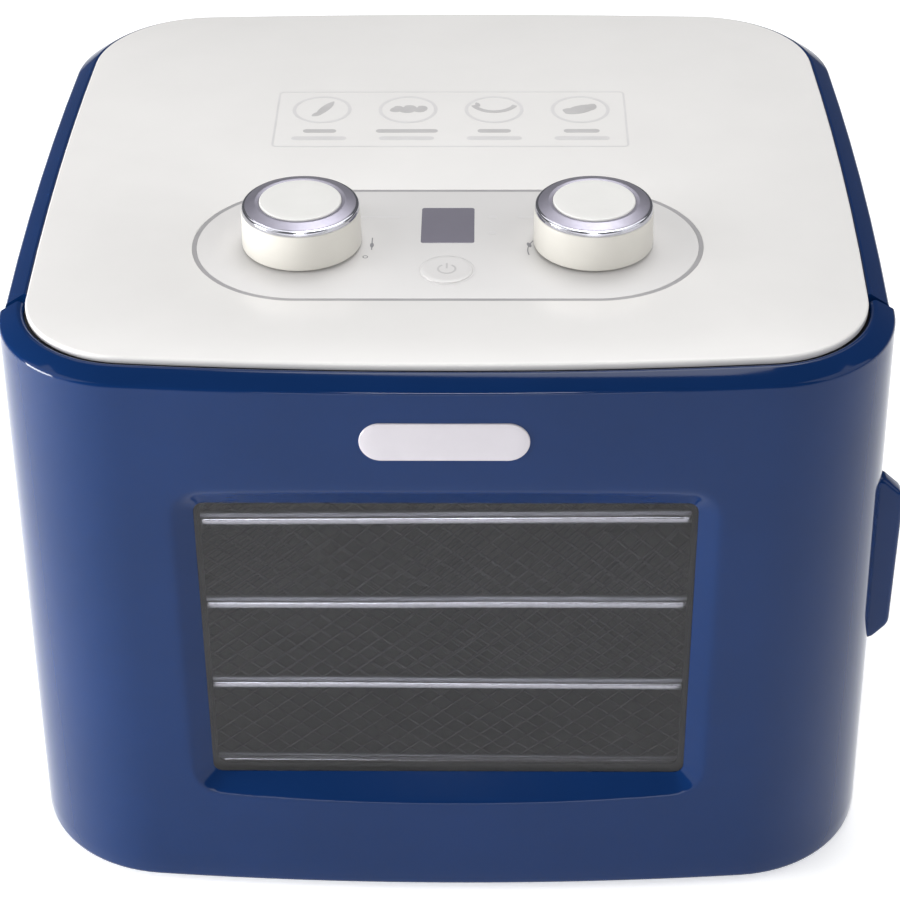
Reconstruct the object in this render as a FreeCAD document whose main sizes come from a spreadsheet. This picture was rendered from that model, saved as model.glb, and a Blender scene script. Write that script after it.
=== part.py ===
import FreeCAD, Part
import math
import os
import re
import sys
import Sketcher

# Food dehydrator with a wrap-round door, four slide-out trays, two knobs and a rear fan.
# Millimetres. X to the right, Y to the back, Z up, origin on the floor under the middle of the cabinet.

os.makedirs("parts", exist_ok=True)
doc = FreeCAD.newDocument("food_dehydrator")
Vector = FreeCAD.Vector
Rotation = FreeCAD.Rotation
UP = Vector(0, 0, 1)
FORWARD = Vector(0, -1, 0)

SIZES = [
    # outside form, measured where the bevel starts
    ("width", 340, "across the sides"),
    ("depth", 315.4, "front to back"),
    ("shell_height", 239.1, "lower edge to the start of the bevel"),
    ("side_draft", 4.8, "growth of every side at the lower edge"),
    ("corner_radius", 53, "front corners"),
    ("rear_corner_radius", 59, "rear corners"),
    ("front_bow_radius", 1430, "front face in plan"),
    ("side_bow_radius", 2550, "side faces in plan"),
    ("back_bow_radius", 2610, "back face in plan"),
    ("bevel_run", 10.5, "bevel in plan"),
    ("bevel_rise", 5.8, "bevel upwards"),
    ("wall", 2.5, "moulded walls"),
    ("foot_height", 3, "rubber foot below the cabinet"),
    ("foot_radius", 10, "rubber foot"),
    ("foot_inset", 62, "foot centre from the side"),
    ("plate_thickness", 3, "white top plate"),
    ("plate_ledge", 6, "ledge under the top plate's edge"),
    ("play", 0.3, "gap between fixed neighbours"),
    ("screw_radius", 1.5, "screws"),
    ("screw_head", 1.8, "height of a screw's head"),
    ("screw_play", 0.1, "screw in its hole"),
    # door
    ("door_depth", 60.3, "front face to the cabinet's edge"),
    ("door_step", 1.6, "door proud of the cabinet"),
    ("seam_gap", 2.8, "door's rear edge to the cabinet"),
    ("rim_gap", 0.8, "door rim to the top plate"),
    ("hinge_inset", 5, "hinge axis inside the side"),
    ("hinge_setback", 11.2, "hinge axis in front of the cabinet's edge"),
    ("rim_swing", 7.8, "rounded end of the rim about the hinge axis"),
    ("pin_radius", 1.5, "hinge pin"),
    ("pin_play", 0.08, "hinge pin in its bore"),
    ("arm_play", 0.35, "room in the door wall for the hinge pin's arm"),
    ("arm_angle", 35, "hinge pin's arm in plan, towards the front"),
    ("arm_bend", 2, "bend of the hinge pin"),
    ("sweep_play", 0.5, "room for the door's lower corner as it swings"),
    ("knuckle_radius", 5, "hinge boss in the door"),
    ("knuckle_length", 18, "hinge boss in the door"),
    ("window_width", 188, "glass in sight"),
    ("window_height", 131.5, "glass in sight"),
    ("window_low", 57.5, "lower edge of the glass above the floor"),
    ("window_depth", 8, "glass behind the face"),
    ("window_flare_side", 1.7, "recess slope, sideways per depth"),
    ("window_flare_top", 1.31, "recess slope, upwards per depth"),
    ("window_corner", 4, "corner of the glass opening"),
    ("glass_thickness", 3, "window glass"),
    ("glass_lap", 4, "glass behind its frame"),
    ("inner_panel_gap", 13, "door face to the inner panel's back, at the middle"),
    ("inner_panel_width", 252, "inner panel"),
    ("inner_panel_height", 196, "inner panel"),
    ("post_radius", 4, "screw post behind the door's face"),
    ("post_hole", 9, "screw hole in its post"),
    ("panel_screw_length", 8, "inner panel's screws"),
    ("badge_width", 62, "badge"),
    ("badge_height", 16, "badge"),
    ("badge_middle", 221.5, "badge centre above the floor"),
    ("badge_proud", 1, "badge in front of the face"),
    ("pull_length", 80, "side pull, upright"),
    ("pull_middle", 128.8, "side pull centre above the floor"),
    ("pull_proud", 8.5, "side pull beyond the side"),
    ("pull_width", 8, "side pull, front to back"),
    ("magnet_width", 8, "catch magnet"),
    ("magnet_height", 20, "catch magnet"),
    ("strike_thickness", 1.2, "plate that a magnet holds"),
    # front frame, chamber and trays
    ("frame_inset", 8, "front frame inside the top plate's outline"),
    ("frame_flat", 5.5, "depth of the frame's bow that is cut flat"),
    ("chamber_width", 248, "liner, outside"),
    ("chamber_low", 18, "liner floor above the floor"),
    ("chamber_high", 213, "liner top above the floor"),
    ("rear_room", 60.9, "liner's back to the back of the cabinet"),
    ("liner_wall", 1.2, "sheet liner"),
    ("liner_gap", 1.5, "liner behind the front frame's face"),
    ("tray_width", 236, "tray"),
    ("tray_rear_gap", 14.4, "trays to the liner's back"),
    ("tray_low", 53, "lowest tray above the floor"),
    ("tray_pitch", 40, "tray to tray"),
    ("tray_bar", 4, "tray's main bar"),
    ("tray_wire", 1.8, "tray's upper wire"),
    ("tray_weld", 0.2, "upper wire let into the main bar"),
    ("tray_corner", 14, "tray corner"),
    ("tray_proud", 7.9, "trays in front of the front frame"),
    ("mesh_thickness", 1, "mesh sheet"),
    ("mesh_hole", 18, "mesh opening"),
    ("mesh_pitch", 21, "mesh opening to opening"),
    ("ledge_width", 8, "ledge that carries a tray"),
    ("ledge_thickness", 2, "ledge that carries a tray"),
    # rear compartment
    ("baffle_thickness", 1.5, "rear baffle"),
    ("heater_radius", 52, "heater ring"),
    ("heater_tube", 3.2, "heater tube"),
    ("heater_gap", 8, "heater ring behind the baffle"),
    ("heater_bar", 8, "strips of the heater's frame"),
    ("strip_thickness", 2, "strips behind the baffle"),
    ("fan_gap", 17, "impeller behind the baffle"),
    ("motor_gap", 5, "motor behind the impeller"),
    ("bracket_width", 14, "arms of the motor bracket"),
    ("bracket_post", 3, "radius of the motor bracket's posts"),
    ("fan_radius", 56, "impeller"),
    ("fan_hub_radius", 16, "impeller hub"),
    ("fan_length", 12, "impeller along its shaft"),
    ("fan_middle", 118, "fan axis above the floor"),
    ("motor_radius", 24, "motor"),
    ("motor_length", 18, "motor"),
    ("shaft_radius", 2, "motor shaft"),
    ("shaft_play", 0.06, "shaft in its bearing"),
    ("vent_width", 128, "rear vent cover"),
    ("vent_height", 112, "rear vent cover"),
    ("vent_cheek", 11, "solid border beside the louvres"),
    ("cutout_radius", 8, "thermal cutout"),
    ("cutout_length", 9, "thermal cutout"),
    ("cutout_above", 76, "thermal cutout above the fan"),
    ("probe_radius", 2, "temperature probe"),
    ("probe_length", 22, "temperature probe"),
    ("probe_x", -92, "temperature probe across"),
    ("probe_above", 60, "temperature probe above the fan"),
    ("vent_flange", 4, "rear vent cover's flange beyond its plug"),
    ("vent_rows", 9, "louvres"),
    ("inlet_side", 86, "mains inlet's middle from the right side"),
    ("inlet_middle", 36, "mains inlet above the floor"),
    ("inlet_width", 27.4, "mains inlet"),
    ("inlet_height", 19.4, "mains inlet"),
    ("inlet_well_width", 21, "mains inlet's socket"),
    ("inlet_well_height", 13, "mains inlet's socket"),
    ("inlet_pin_radius", 1.5, "mains inlet's pins"),
    ("inlet_pin_spread", 4.5, "mains inlet's pins from its middle"),
    # control panel
    ("panel_half", 97.2, "half length of the oblong panel"),
    ("panel_radius", 41, "oblong panel's ends"),
    ("panel_setback", 36.5, "panel centre line behind the cabinet's edge"),
    ("trim_width", 0.9, "panel outline"),
    ("knob_spread", 56.3, "knob from the middle"),
    ("knob_radius", 23.15, "knob body"),
    ("knob_ring_radius", 22.4, "chrome ring, outside"),
    ("knob_cap_radius", 15.9, "white cap"),
    ("knob_shoulder", 15.4, "top of the knob body above the plate"),
    ("knob_height", 19.2, "top of the knob above the plate"),
    ("knob_lift", 0.8, "knob above the plate"),
    ("encoder_shaft_radius", 3, "encoder shaft"),
    ("bushing_radius", 3.6, "encoder bushing, outside"),
    ("nut_width", 11, "encoder nut across flats"),
    ("nut_height", 2, "encoder nut"),
    ("encoder_width", 12, "encoder can, left to right"),
    ("encoder_length", 13, "encoder can, front to back"),
    ("button_radius", 10, "power button"),
    ("button_offset", 20.5, "power button in front of the panel's centre line"),
    ("button_proud", 0.6, "power button above the panel"),
    ("button_travel", 0.8, "power button"),
    ("display_width", 20.8, "display lens"),
    ("display_length", 27.6, "display lens"),
    ("display_offset", 13.7, "display behind the panel's centre line"),
    ("lens_thickness", 1.5, "display lens"),
    ("lens_drop", 0.2, "display lens below the plate's top"),
    ("board_drop", 9.5, "control board below the panel"),
    ("board_thickness", 1.6, "circuit boards"),
    ("switch_height", 5.1, "top of the released power switch above its board"),
    ("switch_width", 6, "power switch"),
    ("power_board_width", 150, "power board"),
    ("power_board_length", 84, "power board"),
    ("power_board_setback", 26.8, "power board's middle in front of the liner's back"),
]

sheet = doc.addObject("Spreadsheet::Sheet", "sizes")
for row, (alias, number, note) in enumerate(SIZES, start=1):
    sheet.set(f"A{row}", note)
    sheet.set(f"B{row}", str(number))
    sheet.setAlias(f"B{row}", alias)
doc.recompute()
ALIASES = {alias for alias, number, note in SIZES}

# Places worked out from the sizes, as expressions that objects are bound to.
PLATE_TOP = "(foot_height + shell_height + bevel_rise)"
PLATE_UNDER = f"({PLATE_TOP} - plate_thickness)"
RIM_UNDER = "(foot_height + shell_height - wall)"
EDGE = "(-depth / 2 + door_depth)"
DOOR_EDGE = f"({EDGE} - seam_gap)"
HINGE_X = "(-width / 2 + hinge_inset)"
HINGE_Y = f"({EDGE} - hinge_setback)"
FRAME_FRONT = "(-depth / 2 + bevel_run + frame_inset + frame_flat)"
FRAME_TOP = PLATE_UNDER
LINER_FRONT = f"({FRAME_FRONT} + wall + liner_gap)"
LINER_BACK = "(depth / 2 - rear_room)"
CHAMBER_DEPTH = f"({LINER_BACK} - {LINER_FRONT})"
BAFFLE_BACK = f"({LINER_BACK} + baffle_thickness)"
WINDOW_MIDDLE = "(window_low + window_height / 2)"
LEAN = "(side_draft / shell_height)"
FACE_Y = f"(-depth / 2 - side_draft + {LEAN} * ({WINDOW_MIDDLE} - foot_height))"
INNER_PANEL_BACK = "(-depth / 2 + inner_panel_gap)"
KNOB_Y = f"({EDGE} + panel_setback)"
BUTTON_Y = f"({KNOB_Y} - button_offset)"
DISPLAY_Y = f"({KNOB_Y} + display_offset)"
PANEL_THICKNESS = "wall"
PANEL_UNDER = f"({PLATE_TOP} - {PANEL_THICKNESS})"
BOARD_TOP = f"({PANEL_UNDER} - board_drop + board_thickness)"
TRAY_FRONT = f"({FRAME_FRONT} - tray_proud)"
TRAY_DEPTH = f"({LINER_BACK} - tray_rear_gap - {TRAY_FRONT})"
MAGNET_X = "(chamber_width / 2 + magnet_width / 2 + 4)"
MAGNET_LEVELS = (f"{WINDOW_MIDDLE} - 48", f"{WINDOW_MIDDLE} + 32")
STRIKE_FRONT = f"({FRAME_FRONT} - strike_thickness)"
FAN_FRONT = f"({BAFFLE_BACK} + fan_gap)"
MOTOR_FRONT = f"({FAN_FRONT} + fan_length + motor_gap)"
BACK_Y = "(depth / 2 - door_step)"
BACK_LEAN = "(side_draft * (1 - (fan_middle - foot_height) / shell_height))"
INLET_X = "(width / 2 - inlet_side)"


def spell(text):
    """The expression with each alias written as a cell of the sheet."""
    return re.sub(r"[A-Za-z_]\w*", lambda word: qualified(word.group(0)), str(text))


def qualified(word):
    return "sizes." + word if word in ALIASES else word


def value(text):
    """The number that an expression has now."""
    return float(sheet.evalExpression(spell(text)))


def bind(item, **expressions):
    for name, text in expressions.items():
        item.setExpression(name, spell(text))
    return item


def place(item, x="0", y="0", z="0"):
    for axis, text in zip("xyz", (x, y, z)):
        item.setExpression("Placement.Base." + axis, spell(text))
    return item


NODES = []


def node(item, label=None):
    """Mark a finished sub-part, whose label names its file."""
    item.Label = label or item.Name
    NODES.append(item)
    return item


# ---------------------------------------------------------------- Part primitives and booleans

def block(name, length, width, height, x="0", y="0", z="0"):
    """A box centred on x and y that stands on z."""
    item = bind(doc.addObject("Part::Box", name), Length=length, Width=width, Height=height)
    return place(item, f"({x}) - ({length}) / 2", f"({y}) - ({width}) / 2", z)


def rod(name, radius, length, x="0", y="0", z="0", direction="Z"):
    """A cylinder that starts at x, y, z and runs along one axis."""
    item = bind(doc.addObject("Part::Cylinder", name), Radius=radius, Height=length)
    turn = {"X": Rotation(Vector(0, 1, 0), 90), "Y": Rotation(Vector(1, 0, 0), -90), "Z": Rotation()}
    item.Placement = FreeCAD.Placement(Vector(), turn[direction])
    return place(item, x, y, z)


def fuse(name, *items):
    joined = doc.addObject("Part::MultiFuse", name)
    joined.Shapes = list(items)
    return joined


def cut(name, base, *tools):
    trimmed = doc.addObject("Part::Cut", name)
    trimmed.Base = base
    trimmed.Tool = tools[0] if len(tools) == 1 else fuse(name + "_tools", *tools)
    return trimmed


def group(name, *items):
    """Identical pieces in one node, each a solid of its own."""
    together = doc.addObject("Part::Compound", name)
    together.Links = list(items)
    return together


def obround(name, half, radius, height, x="0", y="0", z="0"):
    """An oblong with round ends along X."""
    reach = f"(({half}) - ({radius}))"
    middle = block(name + "_middle", f"2 * {reach}", f"2 * ({radius})", height, x, y, z)
    left = rod(name + "_left", radius, height, f"({x}) - {reach}", y, z)
    right = rod(name + "_right", radius, height, f"({x}) + {reach}", y, z)
    return fuse(name, middle, left, right)


def screw(name, radius, length, x, y, z, direction="Z", head_first=True):
    """A pan-head screw along one axis, its shank starting at the given point."""
    shift = {"X": (1, 0, 0), "Y": (0, 1, 0), "Z": (0, 0, 1)}[direction]
    head = "screw_head"
    back = [f"({base}) - {step} * {head}" for base, step in zip((x, y, z), shift)]
    ahead = [f"({base}) + {step} * ({length})" for base, step in zip((x, y, z), shift)]
    shank = rod(name + "_shank", radius, length, x, y, z, direction)
    cap = rod(name + "_head", f"2 * ({radius})", head, *(back if head_first else ahead), direction)
    return fuse(name, shank, cap)


# ---------------------------------------------------------------- sketches and PartDesign bodies

def origin_plane(body, role):
    return next(feature for feature in body.Origin.OriginFeatures if feature.Role == role)


def add_sketch(body, name, role):
    sketch = body.newObject("Sketcher::SketchObject", name)
    sketch.AttachmentSupport = [(origin_plane(body, role), "")]
    sketch.MapMode = "FlatFace"
    return sketch


def pin_point(sketch, index, end, corner):
    """Hold one point of the sketch at a pair of expressions."""
    for kind, text in zip(("DistanceX", "DistanceY"), corner):
        held = sketch.addConstraint(Sketcher.Constraint(kind, -1, 1, index, end, value(text)))
        sketch.setExpression(f"Constraints[{held}]", spell(text))


def draw_polygon(sketch, corners):
    points = [Vector(value(x), value(y), 0) for x, y in corners]
    first = sketch.GeometryCount
    following = points[1:] + points[:1]
    for start, end in zip(points, following):
        sketch.addGeometry(Part.LineSegment(start, end), False)
    for step in range(len(points)):
        after = first + (step + 1) % len(points)
        sketch.addConstraint(Sketcher.Constraint("Coincident", first + step, 2, after, 1))
    for step, corner in enumerate(corners):
        pin_point(sketch, first + step, 1, corner)


def draw_circle(sketch, x, y, radius):
    centre = Vector(value(x), value(y), 0)
    index = sketch.addGeometry(Part.Circle(centre, UP, value(radius)), False)
    pin_point(sketch, index, 3, (x, y))
    held = sketch.addConstraint(Sketcher.Constraint("Radius", index, value(radius)))
    sketch.setExpression(f"Constraints[{held}]", spell(radius))


def turned(name, corners, x="0", y="0", z="0"):
    """A body turned about its own Z axis from a half section of radii and heights."""
    body = doc.addObject("PartDesign::Body", name)
    sketch = add_sketch(body, name + "_section", "XZ_Plane")
    draw_polygon(sketch, corners)
    turn = body.newObject("PartDesign::Revolution", name + "_turn")
    turn.Profile = sketch
    turn.ReferenceAxis = (sketch, ["V_Axis"])
    turn.Angle = 360
    return place(body, x, y, z)


def padded(name, draw, height, x="0", y="0", z="0"):
    """A body made by padding a sketch on the XY plane, which draw() fills."""
    body = doc.addObject("PartDesign::Body", name)
    sketch = add_sketch(body, name + "_outline", "XY_Plane")
    draw(sketch)
    pad = body.newObject("PartDesign::Pad", name + "_pad")
    pad.Profile = sketch
    bind(pad, Length=height)
    return place(body, x, y, z)


# ---------------------------------------------------------------- bowed outline and the shells cut from it

def tangent_corner(first, first_radius, second, second_radius, corner, near):
    """Centre of a corner arc that touches two large arcs from inside."""
    reach_one = first_radius - corner
    reach_two = second_radius - corner
    gap = second - first
    apart = gap.Length
    along = (reach_one ** 2 - reach_two ** 2 + apart ** 2) / (2 * apart)
    aside = math.sqrt(reach_one ** 2 - along ** 2)
    unit = gap / apart
    normal = Vector(-unit.y, unit.x, 0)
    choices = [first + unit * along + normal * aside, first + unit * along - normal * aside]
    return min(choices, key=lambda point: (point - near).Length)


def outline(inset, level, height=None):
    """Closed plan outline of the body, bowed on every side, at one level above the floor."""
    grow = 0.0
    if height is not None:
        grow = value("side_draft") * (1 - height / value("shell_height"))
    half_x = value("width") / 2 + grow - inset
    half_y = value("depth") / 2 + grow - inset
    front_r = value("front_bow_radius") - inset
    side_r = value("side_bow_radius") - inset
    back_r = value("back_bow_radius") - inset
    corner = value("corner_radius") - inset
    rear_corner = value("rear_corner_radius") - inset
    front = Vector(0, -half_y + front_r, 0)
    right = Vector(half_x - side_r, 0, 0)
    back = Vector(0, half_y - back_r, 0)
    left = Vector(-half_x + side_r, 0, 0)
    sides = [
        (front, front_r, right, side_r, corner, Vector(half_x, -half_y, 0)),
        (right, side_r, back, back_r, rear_corner, Vector(half_x, half_y, 0)),
        (back, back_r, left, side_r, rear_corner, Vector(-half_x, half_y, 0)),
        (left, side_r, front, front_r, corner, Vector(-half_x, -half_y, 0)),
    ]
    middles = [Vector(half_x, 0, 0), Vector(0, half_y, 0), Vector(-half_x, 0, 0), Vector(0, -half_y, 0)]
    lift = Vector(0, 0, level)
    stations = []
    for one, one_r, two, two_r, small, near in sides:
        centre = tangent_corner(one, one_r, two, two_r, small, near)
        start = one + (centre - one).normalize() * one_r
        end = two + (centre - two).normalize() * two_r
        bisector = (start + end) / 2 - centre
        stations.append((start + lift, centre + bisector.normalize() * small + lift, end + lift))
    edges = []
    for step, (start, middle, end) in enumerate(stations):
        following = stations[(step + 1) % 4][0]
        edges.append(Part.Arc(start, middle, end).toShape())
        edges.append(Part.Arc(end, middles[step] + lift, following).toShape())
    return Part.Wire(edges)


def drafted(inset, low, high):
    """Solid inside the drafted outline between two levels above the floor."""
    foot = value("foot_height")
    wires = [outline(inset, low, low - foot), outline(inset, high, high - foot)]
    return Part.makeLoft(wires, True, True)


def upright(inset, low, high):
    """Solid inside the outline of the bevel's foot, with upright sides."""
    return Part.Face(outline(inset, low)).extrude(Vector(0, 0, high - low))


def bevelled(inset):
    """The whole outside form: drafted sides and the bevel up to the top plate."""
    foot = value("foot_height")
    shoulder = foot + value("shell_height")
    top = value(PLATE_TOP)
    sides = drafted(inset, foot, shoulder)
    bevel = Part.makeLoft([outline(inset, shoulder), outline(value("bevel_run"), top)], True, True)
    return sides.fuse(bevel).removeSplitter()


def slab(x_low, x_high, y_low, y_high, z_low, z_high):
    size = (x_high - x_low, y_high - y_low, z_high - z_low)
    return Part.makeBox(*size, Vector(x_low, y_low, z_low))


FAR = 400.0


def in_front_of(y, low=-10.0, high=FAR):
    return slab(-FAR, FAR, -FAR, y, low, high)


def behind(y, low=-10.0, high=FAR):
    return slab(-FAR, FAR, y, FAR, low, high)


def made(name, shape):
    """A node whose shape comes from Part's own functions."""
    feature = doc.addObject("Part::Feature", name)
    feature.Shape = shape
    return node(feature)


def cabinet_shell():
    """Sides, back and bevelled top ring behind the door, with a ledge for the top plate."""
    step = value("door_step")
    wall = value("wall")
    foot = value("foot_height")
    under = value(RIM_UNDER)
    run = value("bevel_run")
    shell = bevelled(step)
    shell = shell.cut(drafted(step + wall, foot - 1, under))
    shell = shell.cut(upright(run + value("plate_ledge"), under - 5, FAR))
    shell = shell.cut(upright(run - value("play"), value(PLATE_UNDER), FAR))
    shell = shell.cut(in_front_of(value(EDGE)))
    vent = back_opening("0", "fan_middle", "vent_width", "vent_height")
    inlet = back_opening(INLET_X, "inlet_middle", "inlet_width", "inlet_height")
    return made("cabinet_shell", shell.cut(vent).cut(inlet))


def back_opening(x, z, width, height):
    """Slab that cuts the back wall round a fitting, with play on every side."""
    half_x = value(f"{width} / 2 + play")
    half_z = value(f"{height} / 2 + play")
    return slab(value(x) - half_x, value(x) + half_x, value(LINER_BACK), FAR,
                value(z) - half_z, value(z) + half_z)


def funnel(depth_low, depth_high, lap):
    """Tapered window recess between two depths behind the face, upright, opening along -Y."""
    wires = []
    for depth in (depth_low, depth_high):
        back = value("window_depth") - depth
        half_x = value("window_width") / 2 + back * value("window_flare_side") + lap
        half_z = value("window_height") / 2 + back * value("window_flare_top") + lap
        corner = value("window_corner") + back * value("window_flare_side") + lap
        wires.append(rounded_rectangle(half_x, half_z, corner, depth))
    return Part.makeLoft(wires, True, True)


def rounded_rectangle(half_x, half_z, corner, depth):
    """An upright rectangle with round corners in the plane y = depth."""
    edges = []
    signs = [(1, -1), (1, 1), (-1, 1), (-1, -1)]
    points = []
    for x_sign, z_sign in signs:
        centre = Vector(x_sign * (half_x - corner), depth, z_sign * (half_z - corner))
        across = centre + Vector(x_sign * corner, 0, 0)
        upward = centre + Vector(0, 0, z_sign * corner)
        diagonal = centre + Vector(x_sign, 0, z_sign).normalize() * corner
        order = (upward, diagonal, across) if x_sign * z_sign < 0 else (across, diagonal, upward)
        points.append(order)
    for step, (start, middle, end) in enumerate(points):
        edges.append(Part.Arc(start, middle, end).toShape())
        edges.append(Part.makeLine(end, points[(step + 1) % 4][0]))
    return Part.Wire(edges)


def on_face(shape):
    """Move a shape built about the window's middle onto the leaning front face."""
    tilt = math.degrees(math.atan(value(LEAN)))
    moved = shape.copy()
    moved.rotate(Vector(), Vector(1, 0, 0), -tilt)
    moved.translate(Vector(0, value(FACE_Y), value(WINDOW_MIDDLE)))
    return moved


BOSS_X = "(inner_panel_width / 2 - 12)"
BOSS_LOW = f"({WINDOW_MIDDLE} - inner_panel_height / 2 + 10)"
BOSS_HIGH = f"({WINDOW_MIDDLE} + inner_panel_height / 2 - 10)"


def boss_places():
    return [(side * value(BOSS_X), value(level)) for side in (-1, 1) for level in (BOSS_LOW, BOSS_HIGH)]


def knuckle_levels():
    """Lower ends of the bottom and the top hinge boss of the door."""
    return [value("foot_height + wall + 7"), value(RIM_UNDER) - 10.0 - value("knuckle_length")]


def door_shell():
    """Front, both round corners and short wings, with the rim round the top plate."""
    wall = value("wall")
    foot = value("foot_height")
    under = value(RIM_UNDER)
    whole = bevelled(0)
    door = whole.cut(drafted(wall, foot + wall, under))
    door = door.cut(upright(12, foot - 1, foot + wall + 1))
    door = door.cut(upright(value("bevel_run - rim_gap"), under - 2, FAR))
    recess = on_face(funnel(-6, value("window_depth"), 0))
    collar = on_face(funnel(-6, value("window_depth"), wall)).common(whole)
    door = door.fuse(collar).cut(recess)
    hinge = Vector(value(HINGE_X), value(HINGE_Y), 0)
    bottom, top = knuckle_levels()
    length = value("knuckle_length")
    knuckle = value("knuckle_radius")
    for low in (bottom, top):
        boss = Part.makeCylinder(knuckle, length, hinge + UP * low)
        web = slab(-FAR, hinge.x, hinge.y - knuckle, hinge.y + knuckle / 2, low, low + length)
        door = door.fuse(boss.fuse(web).common(whole))
    bore = value("pin_radius + pin_play")
    for low in (bottom - 1, top + 5):
        door = door.cut(Part.makeCylinder(bore, length - 4, hinge + UP * low))
    room = value("pin_radius + arm_play")
    low, high = top + length - 0.5, top + length + 5.5
    arm = Part.makeCylinder(room, high - low, hinge + UP * low)
    sweep = slab(hinge.x - room, hinge.x + 2, hinge.y - 3.5, hinge.y + value("hinge_setback"), low, high)
    door = door.cut(arm).cut(sweep)
    seat = value(INNER_PANEL_BACK) - wall
    for x, z in boss_places():
        foot_of_post = Vector(x, seat, z)
        post = Part.makeCylinder(value("post_radius"), value("depth / 8"), foot_of_post, FORWARD)
        hole = Part.makeCylinder(value("screw_radius + screw_play"), value("post_hole"), foot_of_post, FORWARD)
        door = door.fuse(post.common(whole)).cut(hole)
    for level in MAGNET_LEVELS:
        half_x = value("magnet_width / 2 + 1")
        half_z = value("magnet_height / 2 + 1")
        x = value(MAGNET_X)
        z = value(level)
        post = slab(x - half_x, x + half_x, -FAR, seat, z - half_z, z + half_z)
        door = door.fuse(post.common(whole))
    swing = value("rim_swing")
    corner = slab(hinge.x, hinge.x + 14, hinge.y, hinge.y + 14, under - 2, FAR)
    outside = slab(hinge.x - 14, hinge.x + 14, hinge.y, hinge.y + 14, under, FAR)
    round_end = Part.makeCylinder(swing, FAR, hinge)
    door = door.cut(outside.cut(round_end)).cut(corner.cut(round_end))
    door = door.cut(behind(value(DOOR_EDGE)))
    return made("door_shell", door.removeSplitter())


def front_frame():
    """Fixed frame that stands into the door: chamber mouth, skirt and a flange to the shell."""
    wall = value("wall")
    play = value("play")
    inset = value("bevel_run + frame_inset")
    edge = value(EDGE)
    low = value("foot_height + wall")
    top = value(FRAME_TOP)
    ledge = value(RIM_UNDER) - play
    flange_back = edge + 3.5
    forward = upright(inset, low, top).common(in_front_of(edge))
    rear = upright(inset, low, ledge).common(in_front_of(flange_back)).common(behind(edge))
    flange = drafted(value("door_step") + wall + play, low, ledge)
    flange = flange.common(in_front_of(flange_back)).common(behind(edge + 1))
    hollow = upright(inset + wall, low + wall, top - wall)
    hollow_back = upright(inset + wall, low + wall, ledge - wall)
    hollow = hollow.common(in_front_of(edge)).fuse(hollow_back.common(behind(edge - 1)))
    hollow = hollow.common(behind(value(FRAME_FRONT) + wall))
    half = value("chamber_width") / 2 - 3
    mouth = slab(-half, half, -FAR, 0, value("chamber_low") + 3, value("chamber_high") - 3)
    frame = forward.fuse(rear).fuse(flange).cut(hollow).cut(mouth)
    frame = frame.cut(in_front_of(value(FRAME_FRONT)))
    return made("front_frame", frame.removeSplitter())


def door_sweep(low, high):
    """Space that the door's lower rear corner passes through, about the hinge axis."""
    reach = math.hypot(value("hinge_inset + side_draft"), value("hinge_setback - seam_gap"))
    axis = Vector(value(HINGE_X), value(HINGE_Y), low - 1)
    return Part.makeCylinder(reach + value("sweep_play"), high - low + 2, axis)


def screw_places():
    """Where the four screws go up through the base pan."""
    x = value("width / 2 - foot_inset + 24")
    y = value("depth / 2 - foot_inset - 30")
    return [(-x, -y), (x, -y), (x, y), (-x, y)]


def base_pan():
    """Bottom of the cabinet, with a hole for each housing screw."""
    wall = value("wall")
    low = value("foot_height")
    edge = value(EDGE)
    rear = drafted(value("door_step") + wall + value("play"), low, low + wall).common(behind(edge))
    front = upright(value("bevel_run + frame_inset"), low, low + wall).common(in_front_of(edge + 1))
    pan = rear.fuse(front).removeSplitter()
    pan = pan.cut(door_sweep(low, low + wall))
    for x, y in screw_places():
        pan = pan.cut(Part.makeCylinder(value("screw_radius + screw_play"), 2 * (low + wall), Vector(x, y, 0)))
    return made("base_pan", pan)


def top_plate():
    """White plate that covers the cabinet, with the oblong cut-out for the controls."""
    plate = upright(value("bevel_run"), value(PLATE_UNDER), value(PLATE_TOP))
    radius = value("panel_radius + trim_width")
    reach = value("panel_half - panel_radius")
    low = value(PLATE_UNDER) - 1
    y = value(KNOB_Y)
    for x in (-reach, reach):
        plate = plate.cut(Part.makeCylinder(radius, 10, Vector(x, y, low)))
    plate = plate.cut(slab(-reach, reach, y - radius, y + radius, low, low + 10))
    return made("top_plate", plate)


# ---------------------------------------------------------------- control panel

def control_panel():
    panel = obround("panel_blank", "panel_half", "panel_radius", PANEL_THICKNESS, y=KNOB_Y, z=PANEL_UNDER)
    depth = f"2 + {PANEL_THICKNESS}"
    low = f"{PANEL_UNDER} - 1"
    holes = [
        rod("bushing_hole_left", "bushing_radius + 0.1", depth, "-knob_spread", KNOB_Y, low),
        rod("bushing_hole_right", "bushing_radius + 0.1", depth, "knob_spread", KNOB_Y, low),
        rod("button_hole", "button_radius + play", depth, "0", BUTTON_Y, low),
        block("display_hole", "display_width + play", "display_length + play", depth, "0", DISPLAY_Y, low),
    ]
    node(cut("control_panel", panel, *holes))
    outer = obround("trim_outer", "panel_half + trim_width", "panel_radius + trim_width", PANEL_THICKNESS,
                    y=KNOB_Y, z=PANEL_UNDER)
    inner = obround("trim_inner", "panel_half", "panel_radius", PANEL_THICKNESS, y=KNOB_Y, z=PANEL_UNDER)
    node(cut("panel_trim", outer, inner))


def display():
    lens_low = f"({PLATE_TOP} - lens_drop - lens_thickness)"
    node(block("display_lens", "display_width", "display_length", "lens_thickness", "0", DISPLAY_Y, lens_low))
    node(block("display_module", "display_width - 1", "display_length - 1", f"{lens_low} - 0.2 - {BOARD_TOP}",
               "0", DISPLAY_Y, BOARD_TOP))


def control_board():
    node(block("control_board", "2 * panel_half - 30", "2 * panel_radius - 16", "board_thickness",
               "0", KNOB_Y, f"{BOARD_TOP} - board_thickness"))


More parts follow.
